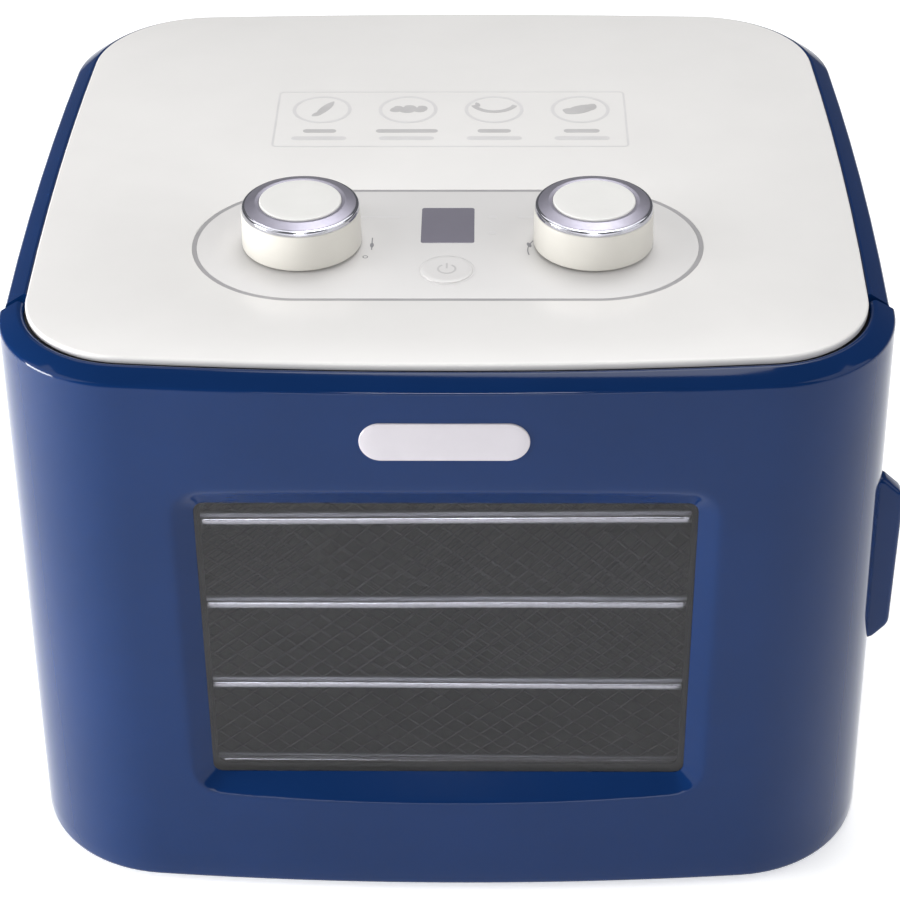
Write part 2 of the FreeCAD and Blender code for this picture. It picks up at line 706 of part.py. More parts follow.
def encoders():
    """Two rotary encoders on the board, whose bushings stand through the panel."""
    height = f"({PANEL_UNDER} - {BOARD_TOP})"
    solids = []
    for side, x in (("left", "-knob_spread"), ("right", "knob_spread")):
        can = block(f"encoder_can_{side}", "encoder_width", "encoder_length", height, x, KNOB_Y, BOARD_TOP)
        neck = rod(f"encoder_neck_{side}", "bushing_radius", f"{height} + 7", x, KNOB_Y, BOARD_TOP)
        bore = rod(f"encoder_bore_{side}", "encoder_shaft_radius + shaft_play", f"{height} + 9", x, KNOB_Y,
                   f"{BOARD_TOP} + 2")
        solids.append(cut(f"encoder_{side}", fuse(f"encoder_body_{side}", can, neck), bore))
    node(group("encoders", *solids))


def encoder_nuts():
    solids = []
    for side, x in (("left", "-knob_spread"), ("right", "knob_spread")):
        def hexagon(sketch):
            corners = []
            for step in range(6):
                angle = 60 * step
                corners.append((f"nut_width / sqrt(3) * cos({angle} deg)",
                                f"nut_width / sqrt(3) * sin({angle} deg)"))
            draw_polygon(sketch, corners)
            draw_circle(sketch, "0", "0", "bushing_radius + 0.05")
        solids.append(padded(f"encoder_nut_{side}", hexagon, "nut_height", x, KNOB_Y, PLATE_TOP))
    node(group("encoder_nuts", *solids))


def knob(side, x):
    """Hollow body, chrome ring and white cap on an encoder shaft."""
    inside = "(knob_radius - 2.2)"
    hub = "(encoder_shaft_radius + 3)"
    under = "(knob_shoulder - 3)"
    shaft_top = "(knob_shoulder - 1)"
    body = turned(f"{side}_knob_body", [
        ("encoder_shaft_radius", under), ("encoder_shaft_radius", "9.5"), (hub, "9.5"), (hub, under),
        (inside, under), (inside, "knob_lift"), ("knob_radius - 0.6", "knob_lift"), ("knob_radius", "knob_lift + 0.6"),
        ("knob_radius - 0.3", "knob_shoulder"), ("encoder_shaft_radius", "knob_shoulder"),
    ], x, KNOB_Y, PLATE_TOP)
    node(body)
    node(turned(f"{side}_knob_ring", [
        ("knob_cap_radius + 0.1", "knob_shoulder"), ("knob_ring_radius + 0.3", "knob_shoulder"),
        ("knob_ring_radius", "knob_shoulder + 1.8"), ("knob_cap_radius + 1.4", "knob_height - 0.3"),
        ("knob_cap_radius + 0.1", "knob_height - 0.3"),
    ], x, KNOB_Y, PLATE_TOP))
    node(turned(f"{side}_knob_cap", [
        ("0", "knob_shoulder"), ("knob_cap_radius", "knob_shoulder"), ("knob_cap_radius", "knob_height - 0.4"),
        ("knob_cap_radius - 0.6", "knob_height"), ("0", "knob_height"),
    ], x, KNOB_Y, PLATE_TOP))
    start = f"({BOARD_TOP} + 2.5)"
    node(rod(f"{side}_encoder_shaft", "encoder_shaft_radius", f"{PLATE_TOP} + {shaft_top} - {start}", x, KNOB_Y,
             start))


def power_button():
    stem_low = f"({BOARD_TOP} + switch_height - {PLATE_TOP})"
    node(turned("power_button", [
        ("0", stem_low), ("2.5", stem_low), ("2.5", "-2.3"), ("button_radius", "-2.3"),
        ("button_radius", "button_proud - 0.4"), ("button_radius - 0.4", "button_proud"), ("0", "button_proud"),
    ], "0", BUTTON_Y, PLATE_TOP))
    node(block("power_switch", "switch_width", "switch_width", "switch_height - button_travel - arm_play", "0",
               BUTTON_Y, BOARD_TOP))


def power_board():
    """Mains board above the chamber's rear, with a transformer, a relay and two capacitors."""
    level = "(chamber_high + 5)"
    y = f"({LINER_BACK} - power_board_setback)"
    node(block("power_board", "power_board_width", "power_board_length", "board_thickness", "0", y, level))
    top = f"({level} + board_thickness)"
    relay = block("relay", "28", "12", "15", "45", f"{y} - 10", top)
    transformer = block("transformer", "34", "28", "18", "-45", f"{y} + 8", top)
    capacitor_one = rod("capacitor_one", "5", "14", "4", f"{y} + 20", top)
    capacitor_two = rod("capacitor_two", "4", "11", "18", f"{y} - 20", top)
    node(group("power_board_parts", relay, transformer, capacitor_one, capacitor_two))


# ---------------------------------------------------------------- chamber, trays and their rails

CHAMBER_HEIGHT = "(chamber_high - chamber_low)"
CHAMBER_Y = f"(({LINER_FRONT} + {LINER_BACK}) / 2)"


def chamber_liner():
    """Sheet tube open to the front and the back."""
    outer = block("liner_outer", "chamber_width", CHAMBER_DEPTH, CHAMBER_HEIGHT, "0", CHAMBER_Y, "chamber_low")
    inner = block("liner_inner", "chamber_width - 2 * liner_wall", f"{CHAMBER_DEPTH} + 2",
                  f"{CHAMBER_HEIGHT} - 2 * liner_wall", "0", CHAMBER_Y, "chamber_low + liner_wall")
    node(cut("chamber_liner", outer, inner))


def tray_rails(side, sign):
    """Upright sheet on one side of the chamber with a ledge under every tray."""
    sheet_x = f"{sign} * (chamber_width / 2 - liner_wall - play - 0.75)"
    ledge_x = f"{sign} * (chamber_width / 2 - liner_wall - play - ledge_width / 2)"
    pieces = [block(f"{side}_rail_sheet", "1.5", f"{CHAMBER_DEPTH} - 8", "4 * tray_pitch + 16", sheet_x, CHAMBER_Y,
                    "tray_low - 24")]
    for step in range(4):
        low = f"tray_low + {step} * tray_pitch - tray_bar / 2 - play - ledge_thickness"
        pieces.append(block(f"{side}_ledge_{step + 1}", "ledge_width", f"{CHAMBER_DEPTH} - 8", "ledge_thickness",
                            ledge_x, CHAMBER_Y, low))
    node(fuse(f"{side}_tray_rails", *pieces))


def bar_ring(name, half_x, half_y, radius, level):
    """A closed rounded rectangle of bar: outer and inner outline padded by the bar's size."""
    outer = rounded_slab(name + "_outer", half_x, half_y, "tray_corner", f"2 * ({radius})", level)
    inner = rounded_slab(name + "_inner", f"({half_x}) - 2 * ({radius})", f"({half_y}) - 2 * ({radius})",
                         f"tray_corner - 2 * ({radius})", f"2 * ({radius})", level)
    return cut(name, outer, inner)


def rounded_slab(name, half_x, half_y, corner, height, level):
    """A plate with round corners, from two crossed boxes and four rods, centred in the tray."""
    y = TRAY_MIDDLE
    pieces = [
        block(name + "_long", f"2 * ({half_x})", f"2 * (({half_y}) - ({corner}))", height, "0", y, level),
        block(name + "_wide", f"2 * (({half_x}) - ({corner}))", f"2 * ({half_y})", height, "0", y, level),
    ]
    for count, (x_sign, y_sign) in enumerate([(-1, -1), (1, -1), (1, 1), (-1, 1)]):
        x = f"{x_sign} * (({half_x}) - ({corner}))"
        pieces.append(rod(f"{name}_corner_{count}", corner, height, x,
                          f"{y} + {y_sign} * (({half_y}) - ({corner}))", level))
    return fuse(name, *pieces)


TRAY_MIDDLE = f"({TRAY_FRONT} + {TRAY_DEPTH} / 2)"


def tray(number):
    """Bar frame with a thinner wire welded along its top, and the mesh inside the bar."""
    level = f"(tray_low + {number - 1} * tray_pitch)"
    name = f"tray_{number}"
    y = TRAY_MIDDLE
    main = bar_ring(name + "_bar", "tray_width / 2", f"{TRAY_DEPTH} / 2", "tray_bar / 2", f"{level} - tray_bar / 2")
    inset = "(tray_bar - tray_wire) / 2"
    upper = bar_ring(name + "_wire", f"tray_width / 2 - {inset}", f"{TRAY_DEPTH} / 2 - {inset}", "tray_wire / 2",
                     f"{level} + tray_bar / 2 - tray_weld")
    node(fuse(f"tray_frame_{number}", main, upper))
    tray_mesh(number, level, y)


def tray_mesh(number, level, y):
    """Mesh sheet with rows of square openings, sized by its own pitch."""
    length = value("tray_width - 2 * tray_bar - 2 * play")
    width = value(f"{TRAY_DEPTH} - 2 * tray_bar - 2 * play")
    hole = value("mesh_hole")
    pitch = value("mesh_pitch")
    thick = value("mesh_thickness")
    across = int((length - 8 + pitch - hole) // pitch)
    along = int((width - 8 + pitch - hole) // pitch)
    plate = slab(-length / 2, length / 2, -width / 2, width / 2, 0, thick)
    corner = value("tray_corner - tray_bar")
    plate = plate.makeFillet(corner, [edge for edge in plate.Edges if is_upright(edge)])
    holes = []
    for column in range(across):
        for line in range(along):
            x = (column - (across - 1) / 2) * pitch
            depth = (line - (along - 1) / 2) * pitch
            holes.append(slab(x - hole / 2, x + hole / 2, depth - hole / 2, depth + hole / 2, -1, thick + 1))
    feature = made(f"tray_mesh_{number}", plate.cut(Part.makeCompound(holes)))
    place(feature, "0", y, f"{level} - mesh_thickness / 2")


def is_upright(edge):
    start, end = edge.Vertexes[0].Point, edge.Vertexes[-1].Point
    return abs(start.x - end.x) < 1e-6 and abs(start.y - end.y) < 1e-6


# ---------------------------------------------------------------- heater, fan and rear fittings

def rear_baffle():
    """Perforated sheet behind the trays, with a round throat and slots for the air."""
    sheet_y = f"{LINER_BACK} + baffle_thickness / 2"
    plate = block("baffle_blank", "chamber_width", "baffle_thickness", CHAMBER_HEIGHT, "0", sheet_y, "chamber_low")
    holes = []
    for row in range(9):
        level = f"fan_middle + {row - 4} * 11 - 2.5"
        half = math.sqrt(max(value("fan_radius") ** 2 - ((row - 4) * 11) ** 2, 0)) - 4
        for side in (-1, 1):
            holes.append(block(f"baffle_slot_{row}_{side + 1}", str(round(half - 4, 2)), "20", "5",
                               str(round(side * (half / 2 + 2), 2)), LINER_BACK, level))
    node(cut("rear_baffle", plate, *holes))


HEATER_Y = f"({BAFFLE_BACK} + heater_gap)"
HEATER_REACH = "(heater_radius * cos(45 deg))"
STRIP_Y = f"({HEATER_Y} + heater_tube * 2)"


def heater():
    """Ring element with two cold ends, held by a frame of four clips on a square sheet."""
    loop = bind(doc.addObject("Part::Torus", "heater_loop"), Radius1="heater_radius", Radius2="heater_tube")
    loop.Placement = FreeCAD.Placement(Vector(), Rotation(Vector(1, 0, 0), 90))
    place(loop, "0", HEATER_Y, "fan_middle")
    ends = []
    for side in (-1, 1):
        ends.append(rod(f"heater_end_{side + 1}", "heater_tube", "26", f"{side} * 9", HEATER_Y,
                        "fan_middle - heater_radius - 24"))
    node(fuse("heater_coil", loop, *ends))
    strips = []
    for step, (x, z) in enumerate([(-1, -1), (1, -1), (1, 1), (-1, 1)]):
        strips.append(block(f"heater_clip_{step}", "heater_bar + 2", f"{STRIP_Y} - {BAFFLE_BACK} - 0.8", "3",
                            f"{x} * {HEATER_REACH}", f"({STRIP_Y} + {BAFFLE_BACK} - 0.8) / 2",
                            f"fan_middle + {z} * {HEATER_REACH} - 1.5"))
    for sign in (-1, 1):
        strips.append(block(f"heater_bar_{sign + 1}", "2 * heater_radius", "strip_thickness", "heater_bar", "0",
                            STRIP_Y, f"fan_middle + {sign} * {HEATER_REACH} - heater_bar / 2"))
        strips.append(block(f"heater_upright_{sign + 1}", "heater_bar", "strip_thickness", f"2 * {HEATER_REACH}",
                            f"{sign} * (heater_radius - heater_bar / 2)", STRIP_Y, f"fan_middle - {HEATER_REACH}"))
    clips = fuse("heater_frame_blank", *strips)
    room = bind(doc.addObject("Part::Torus", "heater_room"), Radius1="heater_radius", Radius2="heater_tube + 0.15")
    room.Placement = FreeCAD.Placement(Vector(), Rotation(Vector(1, 0, 0), 90))
    place(room, "0", HEATER_Y, "fan_middle")
    node(cut("heater_frame", clips, room))
    node(rod("thermal_cutout", "cutout_radius", "cutout_length", "0", BAFFLE_BACK, "fan_middle + cutout_above", "Y"))
    node(rod("temperature_probe", "probe_radius", "probe_length", "probe_x", BAFFLE_BACK, "fan_middle + probe_above",
             "Y"))


def fan_impeller():
    """Hub with seven twisted blades, its shaft bore open to the back."""
    hub_radius = value("fan_hub_radius")
    length = value("fan_length")
    hub = Part.makeCylinder(hub_radius, length)
    tip = value("fan_radius") - 2
    solids = [hub]
    for count in range(7):
        blade = slab(hub_radius - 2, tip, -1, 1, -length * 0.85, length * 0.85)
        blade.rotate(Vector(), Vector(1, 0, 0), 52)
        blade.rotate(Vector(0, 0, 0), UP, 360 / 7 * count)
        blade.translate(Vector(0, 0, length / 2))
        solids.append(blade)
    wheel = solids[0].multiFuse(solids[1:])
    limit = Part.makeCylinder(tip, length)
    wheel = wheel.common(limit).cut(Part.makeCylinder(value("shaft_radius"), length - 3, Vector(0, 0, 3)))
    wheel.rotate(Vector(), Vector(1, 0, 0), -90)
    feature = made("fan_impeller", wheel)
    place(feature, "0", FAN_FRONT, "fan_middle")


def motor():
    """Motor on a cross bracket that four posts hold off the baffle."""
    node(rod("motor_shaft", "shaft_radius", f"{MOTOR_FRONT} - {FAN_FRONT} - 3 + motor_length - 4", "0",
             f"{FAN_FRONT} + 3", "fan_middle", "Y"))
    can = rod("motor_can", "motor_radius", "motor_length", "0", MOTOR_FRONT, "fan_middle", "Y")
    bore = rod("motor_bore", "shaft_radius + shaft_play", "motor_length - 3", "0", f"{MOTOR_FRONT} - 1",
               "fan_middle", "Y")
    node(cut("fan_motor", can, bore))
    bracket_y = f"({MOTOR_FRONT} - strip_thickness / 2)"
    arm = "(2 * fan_radius + bracket_width)"
    bars = [
        block("bracket_bar", arm, "strip_thickness", "bracket_width", "0", bracket_y,
              "fan_middle - bracket_width / 2"),
        block("bracket_upright", "bracket_width", "strip_thickness", arm, "0", bracket_y,
              f"fan_middle - {arm} / 2"),
        rod("bracket_disc", "motor_radius + 4", "strip_thickness", "0", f"{bracket_y} - strip_thickness / 2",
            "fan_middle", "Y"),
    ]
    post_start = BAFFLE_BACK
    for step, (x, z) in enumerate([(-1, 0), (1, 0), (0, 1), (0, -1)]):
        bars.append(rod(f"bracket_post_{step}", "bracket_post", f"{bracket_y} - {post_start}",
                        f"{x} * (fan_radius + 4)", post_start, f"fan_middle + {z} * (fan_radius + 4)", "Y"))
    window = rod("bracket_window", "shaft_radius + 3", "10", "0", f"{bracket_y} - 5", "fan_middle", "Y")
    node(cut("motor_bracket", fuse("bracket_blank", *bars), window))


def rear_vent_cover():
    """Louvred cover through the back wall, held by a flange inside it."""
    y = f"({BACK_Y} + {BACK_LEAN})"
    plug = block("vent_plug", "vent_width", "9.8", "vent_height", "0", f"{y} - 3.1",
                 "fan_middle - vent_height / 2")
    flange = block("vent_rim", "vent_width + 2 * vent_flange", "2", "vent_height + 2 * vent_flange", "0",
                   f"{y} - 7", "fan_middle - vent_height / 2 - vent_flange")
    slots = []
    rows = int(value("vent_rows"))
    pitch = f"(vent_height / {rows + 2})"
    for row in range(rows):
        slots.append(block(f"vent_slot_{row}", "vent_width - 2 * vent_cheek", "20", f"{pitch} * 0.53", "0", y,
                           f"fan_middle + ({row} - {rows - 1} / 2) * {pitch} - {pitch} * 0.265"))
    node(cut("rear_vent_cover", fuse("vent_body", plug, flange), *slots))


def power_inlet():
    """Two-pin appliance inlet in the lower right of the back."""
    y = f"({BACK_Y} + side_draft)"
    body = block("inlet_body", "inlet_width", "22", "inlet_height", INLET_X, f"{y} - 12.5",
                 "inlet_middle - inlet_height / 2")
    well = block("inlet_well", "inlet_well_width", "16", "inlet_well_height", INLET_X, f"{y} - 7",
                 "inlet_middle - inlet_well_height / 2")
    pins = [rod(f"inlet_pin_{side + 1}", "inlet_pin_radius", "12", f"{INLET_X} + {side} * inlet_pin_spread",
                f"{y} - 16", "inlet_middle", "Y") for side in (-1, 1)]
    node(fuse("power_inlet", cut("inlet_shell", body, well), *pins))


def rubber_feet():
    solids = []
    for step, (x, y) in enumerate([(-1, -1), (1, -1), (1, 1), (-1, 1)]):
        solids.append(turned(f"foot_{step}", [
            ("0", "0"), ("foot_radius - 1", "0"), ("foot_radius", "1"), ("foot_radius", "foot_height"),
            ("0", "foot_height"),
        ], f"{x} * (width / 2 - foot_inset)", f"{y} * (depth / 2 - foot_inset)", "0"))
    node(group("rubber_feet", *solids))


def housing_screws():
    """Screws up through the base pan."""
    solids = []
    for step, (x, y) in enumerate(screw_places()):
        solids.append(screw(f"housing_screw_{step}", "screw_radius", "6", x, y, "foot_height"))
    node(group("housing_screws", *solids))


# ---------------------------------------------------------------- door fittings

def window_glass():
    half_x = value("window_width / 2 + glass_lap")
    half_z = value("window_height / 2 + glass_lap")
    low = value("window_depth") + 0.05
    face = Part.Face(rounded_rectangle(half_x, half_z, value("window_corner"), low))
    made("window_glass", on_face(face.extrude(Vector(0, value("glass_thickness"), 0))))
    outer = Part.Face(rounded_rectangle(half_x + 3.1, half_z + 3.1, value("window_corner") + 3, low))
    inner = Part.Face(rounded_rectangle(half_x + 0.1, half_z + 0.1, value("window_corner"), low))
    band = outer.cut(inner).extrude(Vector(0, value("glass_thickness"), 0))
    made("window_gasket", on_face(band))


def door_inner_panel():
    y = f"({INNER_PANEL_BACK} - wall / 2)"
    blank = block("inner_panel_blank", "inner_panel_width", "wall", "inner_panel_height", "0", y,
                  f"{WINDOW_MIDDLE} - inner_panel_height / 2")
    opening = block("inner_panel_opening", "window_width + 1", "20", "window_height + 1", "0", y,
                    "window_low - 0.5")
    holes = []
    screws = []
    for step, (x, level) in enumerate([(-1, BOSS_LOW), (1, BOSS_LOW), (1, BOSS_HIGH), (-1, BOSS_HIGH)]):
        place_x = f"{x} * {BOSS_X}"
        holes.append(rod(f"panel_hole_{step}", "screw_radius + 0.1", "10", place_x, f"{y} - 5", level, "Y"))
        screws.append(screw(f"panel_screw_{step}", "screw_radius", "panel_screw_length", place_x,
                            f"{INNER_PANEL_BACK} - panel_screw_length", level, "Y",
                            head_first=False))
    node(cut("door_inner_panel", blank, opening, *holes))
    node(group("door_panel_screws", *screws))


def door_badge():
    """Plain oblong badge that stands just proud of the bowed face."""
    half = value("badge_width") / 2
    radius = value("badge_height") / 2
    reach = half - radius
    face_y = value(f"-depth / 2 - side_draft + {LEAN} * (badge_middle - foot_height)")
    back = face_y + value("wall") / 2
    middle = value("badge_middle")
    pieces = [Part.makeCylinder(radius, 12, Vector(x, back, middle), Vector(0, -1, 0)) for x in (-reach, reach)]
    pieces.append(slab(-reach, reach, back - 12, back, middle - radius, middle + radius))
    pill = pieces[0].multiFuse(pieces[1:]).removeSplitter()
    proud = bevelled(-value("badge_proud"))
    made("door_badge", pill.common(proud).cut(bevelled(0)))


def door_handle():
    """Upright fin at the rear edge of the door's right wing, with rounded ends."""
    proud = value("pull_proud")
    half = value("pull_length") / 2
    middle = value("pull_middle")
    rear = value(DOOR_EDGE)
    front = rear - value("pull_width")
    face_x = value(f"width / 2 + side_draft * (1 - (pull_middle - foot_height) / shell_height)") - 2.2
    end = 7.5
    corners = [
        Vector(face_x - 6, front, middle - half), Vector(face_x, front, middle - half),
        Vector(face_x + proud, front, middle - half + end), Vector(face_x + proud, front, middle + half - end),
        Vector(face_x, front, middle + half), Vector(face_x - 6, front, middle + half),
    ]
    fin = Part.Face(Part.makePolygon(corners + corners[:1])).extrude(Vector(0, rear - front, 0))
    fin = fin.cut(bevelled(0))
    long_edges = [edge for edge in fin.Edges if is_tip_edge(edge, face_x + proud)]
    fin = fin.makeFillet(2.0, long_edges)
    made("door_handle", fin)


def is_tip_edge(edge, x):
    return all(abs(vertex.Point.x - x) < 1e-4 for vertex in edge.Vertexes) and edge.Length > 20


def catch():
    """Two magnets on posts of the door and the plates they hold on the front frame."""
    magnets = []
    plates = []
    for step, level in enumerate(MAGNET_LEVELS):
        start = f"({INNER_PANEL_BACK} - wall)"
        length = f"({STRIKE_FRONT} - play - {start})"
        magnets.append(block(f"magnet_{step}", "magnet_width", length, "magnet_height", MAGNET_X,
                             f"{start} + {length} / 2", f"({level}) - magnet_height / 2"))
        plates.append(block(f"strike_{step}", "magnet_width", "strike_thickness", "magnet_height", MAGNET_X,
                            f"{FRAME_FRONT} - strike_thickness / 2", f"({level}) - magnet_height / 2"))
    node(group("door_magnets", *magnets))
    node(group("strike_plates", *plates))


def bent_rod(start, knee, end, radius, bend):
    """Round rod along two straight runs at a right angle with an arc between them."""
    back = (start - knee).normalize()
    ahead = (end - knee).normalize()
    one = knee + back * bend
    two = knee + ahead * bend
    middle = knee + (back + ahead) * (bend - bend / math.sqrt(2))
    path = Part.Wire([Part.makeLine(start, one), Part.Arc(one, middle, two).toShape(), Part.makeLine(two, end)])
    section = Part.Wire(Part.Circle(start, back, radius).toShape())
    return path.makePipeShell([section], True, False)


def hinge():
    """Steel pins bent from rod, each in a block on the side of the front frame."""
    radius = value("pin_radius")
    length = value("knuckle_length")
    axis = Vector(value(HINGE_X), value(HINGE_Y), 0)
    skirt = value(f"-width / 2 + bevel_run + frame_inset")
    angle = math.radians(value("arm_angle"))
    run = Vector(math.cos(angle), -math.sin(angle), 0)
    reach = (skirt - 1.0 - axis.x) / math.cos(angle)
    bottom, top = knuckle_levels()
    pins = []
    blocks = []
    for corner, level in ((bottom - 2.2, bottom + 11), (top + length + 2.2, top + 7)):
        knee = axis + UP * corner
        tip = axis + UP * level
        seat = knee + run * reach
        pins.append(bent_rod(tip, knee, seat, radius, value("arm_bend")))
        holder = slab(skirt - 5.4, skirt - 0.1, seat.y - 7, seat.y + 5.5, corner - 4, corner + 4)
        blocks.append(holder.cut(Part.makeCylinder(radius + 0.05, reach + 4, knee, run)))
    made("hinge_pins", Part.makeCompound(pins))
    made("hinge_brackets", Part.makeCompound(blocks))


# ---------------------------------------------------------------- the whole object

def build():
    cabinet_shell()
    base_pan()
    front_frame()
    top_plate()
    control_panel()
    display()
    control_board()
    encoders()
    encoder_nuts()
    for side, x in (("left", "-knob_spread"), ("right", "knob_spread")):
        knob(side, x)
    power_button()
    power_board()
    chamber_liner()
    tray_rails("left", -1)
    tray_rails("right", 1)
    for number in range(1, 5):
        tray(number)
    rear_baffle()
    heater()
    fan_impeller()
    motor()
    rear_vent_cover()
    power_inlet()
    rubber_feet()
    housing_screws()
    door_shell()
    window_glass()
    door_inner_panel()
    door_badge()
    door_handle()
    catch()
    hinge()


def check_and_write():
    doc.recompute()
    faults = [item.Name for item in doc.Objects if {"Invalid", "Error"} & set(item.State)]
    for item in NODES:
        if item.Shape.isNull() or not item.Shape.isValid() or not item.Shape.Solids:
            faults.append(item.Label)
    if faults:
        sys.exit("failed objects: " + ", ".join(faults))
    for item in NODES:
        item.Shape.exportStep(f"parts/{item.Label}.step")
    print(len(NODES), "nodes written")


build()
check_and_write()
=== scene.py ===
"""Looks of a countertop food dehydrator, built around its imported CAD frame.

The frame is in metres; the shapes below are worked out in millimetres in the same frame
(X right, Y back, Z up) and scaled when a mesh is made.
"""
import math

import bpy
from mathutils import Matrix, Vector


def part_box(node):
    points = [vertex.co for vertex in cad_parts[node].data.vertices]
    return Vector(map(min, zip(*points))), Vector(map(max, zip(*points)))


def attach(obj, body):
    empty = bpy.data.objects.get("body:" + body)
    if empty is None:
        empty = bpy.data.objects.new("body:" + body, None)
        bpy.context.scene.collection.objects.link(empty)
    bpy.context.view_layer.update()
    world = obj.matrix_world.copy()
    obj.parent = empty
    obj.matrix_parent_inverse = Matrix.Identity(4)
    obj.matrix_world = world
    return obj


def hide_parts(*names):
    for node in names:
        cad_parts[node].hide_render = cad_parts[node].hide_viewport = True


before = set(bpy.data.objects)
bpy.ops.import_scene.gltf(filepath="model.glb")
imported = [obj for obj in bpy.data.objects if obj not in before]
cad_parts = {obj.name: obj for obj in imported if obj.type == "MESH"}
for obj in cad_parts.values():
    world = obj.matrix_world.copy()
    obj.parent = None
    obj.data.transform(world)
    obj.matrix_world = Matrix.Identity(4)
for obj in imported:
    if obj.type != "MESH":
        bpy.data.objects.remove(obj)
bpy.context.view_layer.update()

MM = 0.001
LOOSE = 0.05  # clearance that keeps two faces from lying in one plane


def box(name):
    """Lowest and highest corner of a CAD node, in millimetres."""
    low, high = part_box(name)
    return low / MM, high / MM


def middle(name):
    low, high = box(name)
    return (low + high) / 2


# ---------------------------------------------------------------- sizes

PLATE_LOW, PLATE_HIGH = box("top_plate")
PLATE_TOP = PLATE_HIGH.z
PLATE_UNDER = PLATE_LOW.z
FOOT = box("door_shell")[0].z            # lower edge of the shells
DOOR_EDGE = box("door_handle")[1].y      # the pull ends at the seam
CABINET_EDGE = box("cabinet_shell")[0].y

BEVEL_RUN = 10.5                         # bevel between the sides and the top plate, in plan
BEVEL_RISE = 5.8
SHOULDER = PLATE_TOP - BEVEL_RISE        # where the bevel starts
HALF_WIDTH = PLATE_HIGH.x + BEVEL_RUN    # body outline at the shoulder
HALF_DEPTH = PLATE_HIGH.y + BEVEL_RUN
SIDE_DRAFT = 4.8                         # growth of every side at the lower edge
FRONT_BOW, SIDE_BOW, BACK_BOW = 1430.0, 2550.0, 2610.0
FRONT_CORNER, REAR_CORNER = 53.0, 59.0
WALL = 2.5
CABINET_STEP = 1.6                       # cabinet behind the door's surface
RIM_GAP = 0.8                            # door rim to the top plate
HINGE = Vector((-HALF_WIDTH + 5.0, CABINET_EDGE - 11.2))
RIM_SWING = 7.8                          # rounded end of the rim about the hinge axis

GLASS_LAP = 4.0
GLASS_LOW, GLASS_HIGH = box("window_glass")
WINDOW_X = GLASS_HIGH.x - GLASS_LAP
WINDOW_Z = 65.75
WINDOW_MIDDLE = 123.25
WINDOW_DEPTH = 8.0
FLARE_X, FLARE_Z = 1.7, 1.31
WINDOW_CORNER = 4.0
PATCH_X = 116.0                          # rectangle of the front that the window recess fills
PATCH_LOW, PATCH_HIGH = 35.0, 206.0

PANEL_HALF, PANEL_RADIUS = 97.2, 41.0
TRIM = 1.7
KNOB_RADIUS = 23.15


# ---------------------------------------------------------------- plan outline

def touch(first, first_radius, second, second_radius, corner, near):
    """Centre of the arc of radius corner that touches two large circles from inside."""
    one, two = first_radius - corner, second_radius - corner
    gap = second - first
    apart = gap.length
    along = (one * one - two * two + apart * apart) / (2 * apart)
    aside = math.sqrt(one * one - along * along)
    unit = gap / apart
    normal = Vector((-unit.y, unit.x))
    choices = [first + unit * along + normal * aside, first + unit * along - normal * aside]
    return min(choices, key=lambda point: (point - near).length)


class Plan:
    """Right half of the bowed plan outline, moved in by inset, as arcs."""

    def __init__(self, inset):
        half_x, half_y = HALF_WIDTH - inset, HALF_DEPTH - inset
        self.front_r, self.side_r, self.back_r = FRONT_BOW - inset, SIDE_BOW - inset, BACK_BOW - inset
        self.front_c = Vector((0, self.front_r - half_y))
        self.side_c = Vector((half_x - self.side_r, 0))
        self.back_c = Vector((0, half_y - self.back_r))
        self.near_r, self.far_r = FRONT_CORNER - inset, REAR_CORNER - inset
        self.near = touch(self.front_c, self.front_r, self.side_c, self.side_r, self.near_r,
                          Vector((half_x, -half_y)))
        self.far = touch(self.side_c, self.side_r, self.back_c, self.back_r, self.far_r,
                         Vector((half_x, half_y)))
        self.front_end = self.front_c + (self.near - self.front_c).normalized() * self.front_r
        self.back_start = self.back_c + (self.far - self.back_c).normalized() * self.back_r
        self.near_turn = [angle_of(self.near - self.front_c), angle_of(self.near - self.side_c)]
        self.far_turn = [angle_of(self.far - self.side_c), angle_of(self.far - self.back_c)]

    def front(self, x):
        return Vector((x, self.front_c.y - math.sqrt(self.front_r ** 2 - x * x)))

    def back(self, x):
        return Vector((x, self.back_c.y + math.sqrt(self.back_r ** 2 - x * x)))

    def side(self, y):
        return Vector((self.side_c.x + math.sqrt(self.side_r ** 2 - y * y), y))

    def corner(self, centre, radius, turn, share):
        angle = turn[0] + (turn[1] - turn[0]) * share
        return centre + Vector((math.cos(angle), math.sin(angle))) * radius

    def near_corner(self, share):
        return self.corner(self.near, self.near_r, self.near_turn, share)

    def far_corner(self, share):
        return self.corner(self.far, self.far_r, self.far_turn, share)


def angle_of(direction):
    return math.atan2(direction.y, direction.x)


def shares(count, both=False):
    """Evenly spread numbers from just above 0 to 1, or from 0 when both ends are wanted."""
    return [step / count for step in range(0 if both else 1, count + 1)]


FINE = [PATCH_X - 2.0 * step for step in range(14, -1, -1)]
FRONT_COLUMNS = [8.0 * step for step in range(0, 11)] + FINE
CORNER_STEPS = 20


def door_half(plan, rear):
    """Points of the door's right half from the middle of the front to the seam at y = rear."""
    points = [plan.front(x) for x in FRONT_COLUMNS]
    last = plan.front_end.x
    points += [plan.front(PATCH_X + (last - PATCH_X) * share) for share in shares(2)[:-1]]
    points += [plan.near_corner(share) for share in shares(CORNER_STEPS, True)]
    start = points[-1].y
    points += [plan.side(start + (rear - start) * share) for share in shares(2)]
    return points


BACK_COLUMNS = [0.0, 20.0, 42.0, 64.3, 70.0, 98.0]


def cabinet_half(plan, front):
    """Points of the cabinet's right half from the seam at y = front to the middle of the back."""
    end = plan.far_corner(0)
    points = [plan.side(front + (end.y - front) * share) for share in shares(6, True)[:-1]]
    points += [plan.far_corner(share) for share in shares(CORNER_STEPS, True)]
    points += [plan.back(x) for x in reversed(BACK_COLUMNS)]
    return points


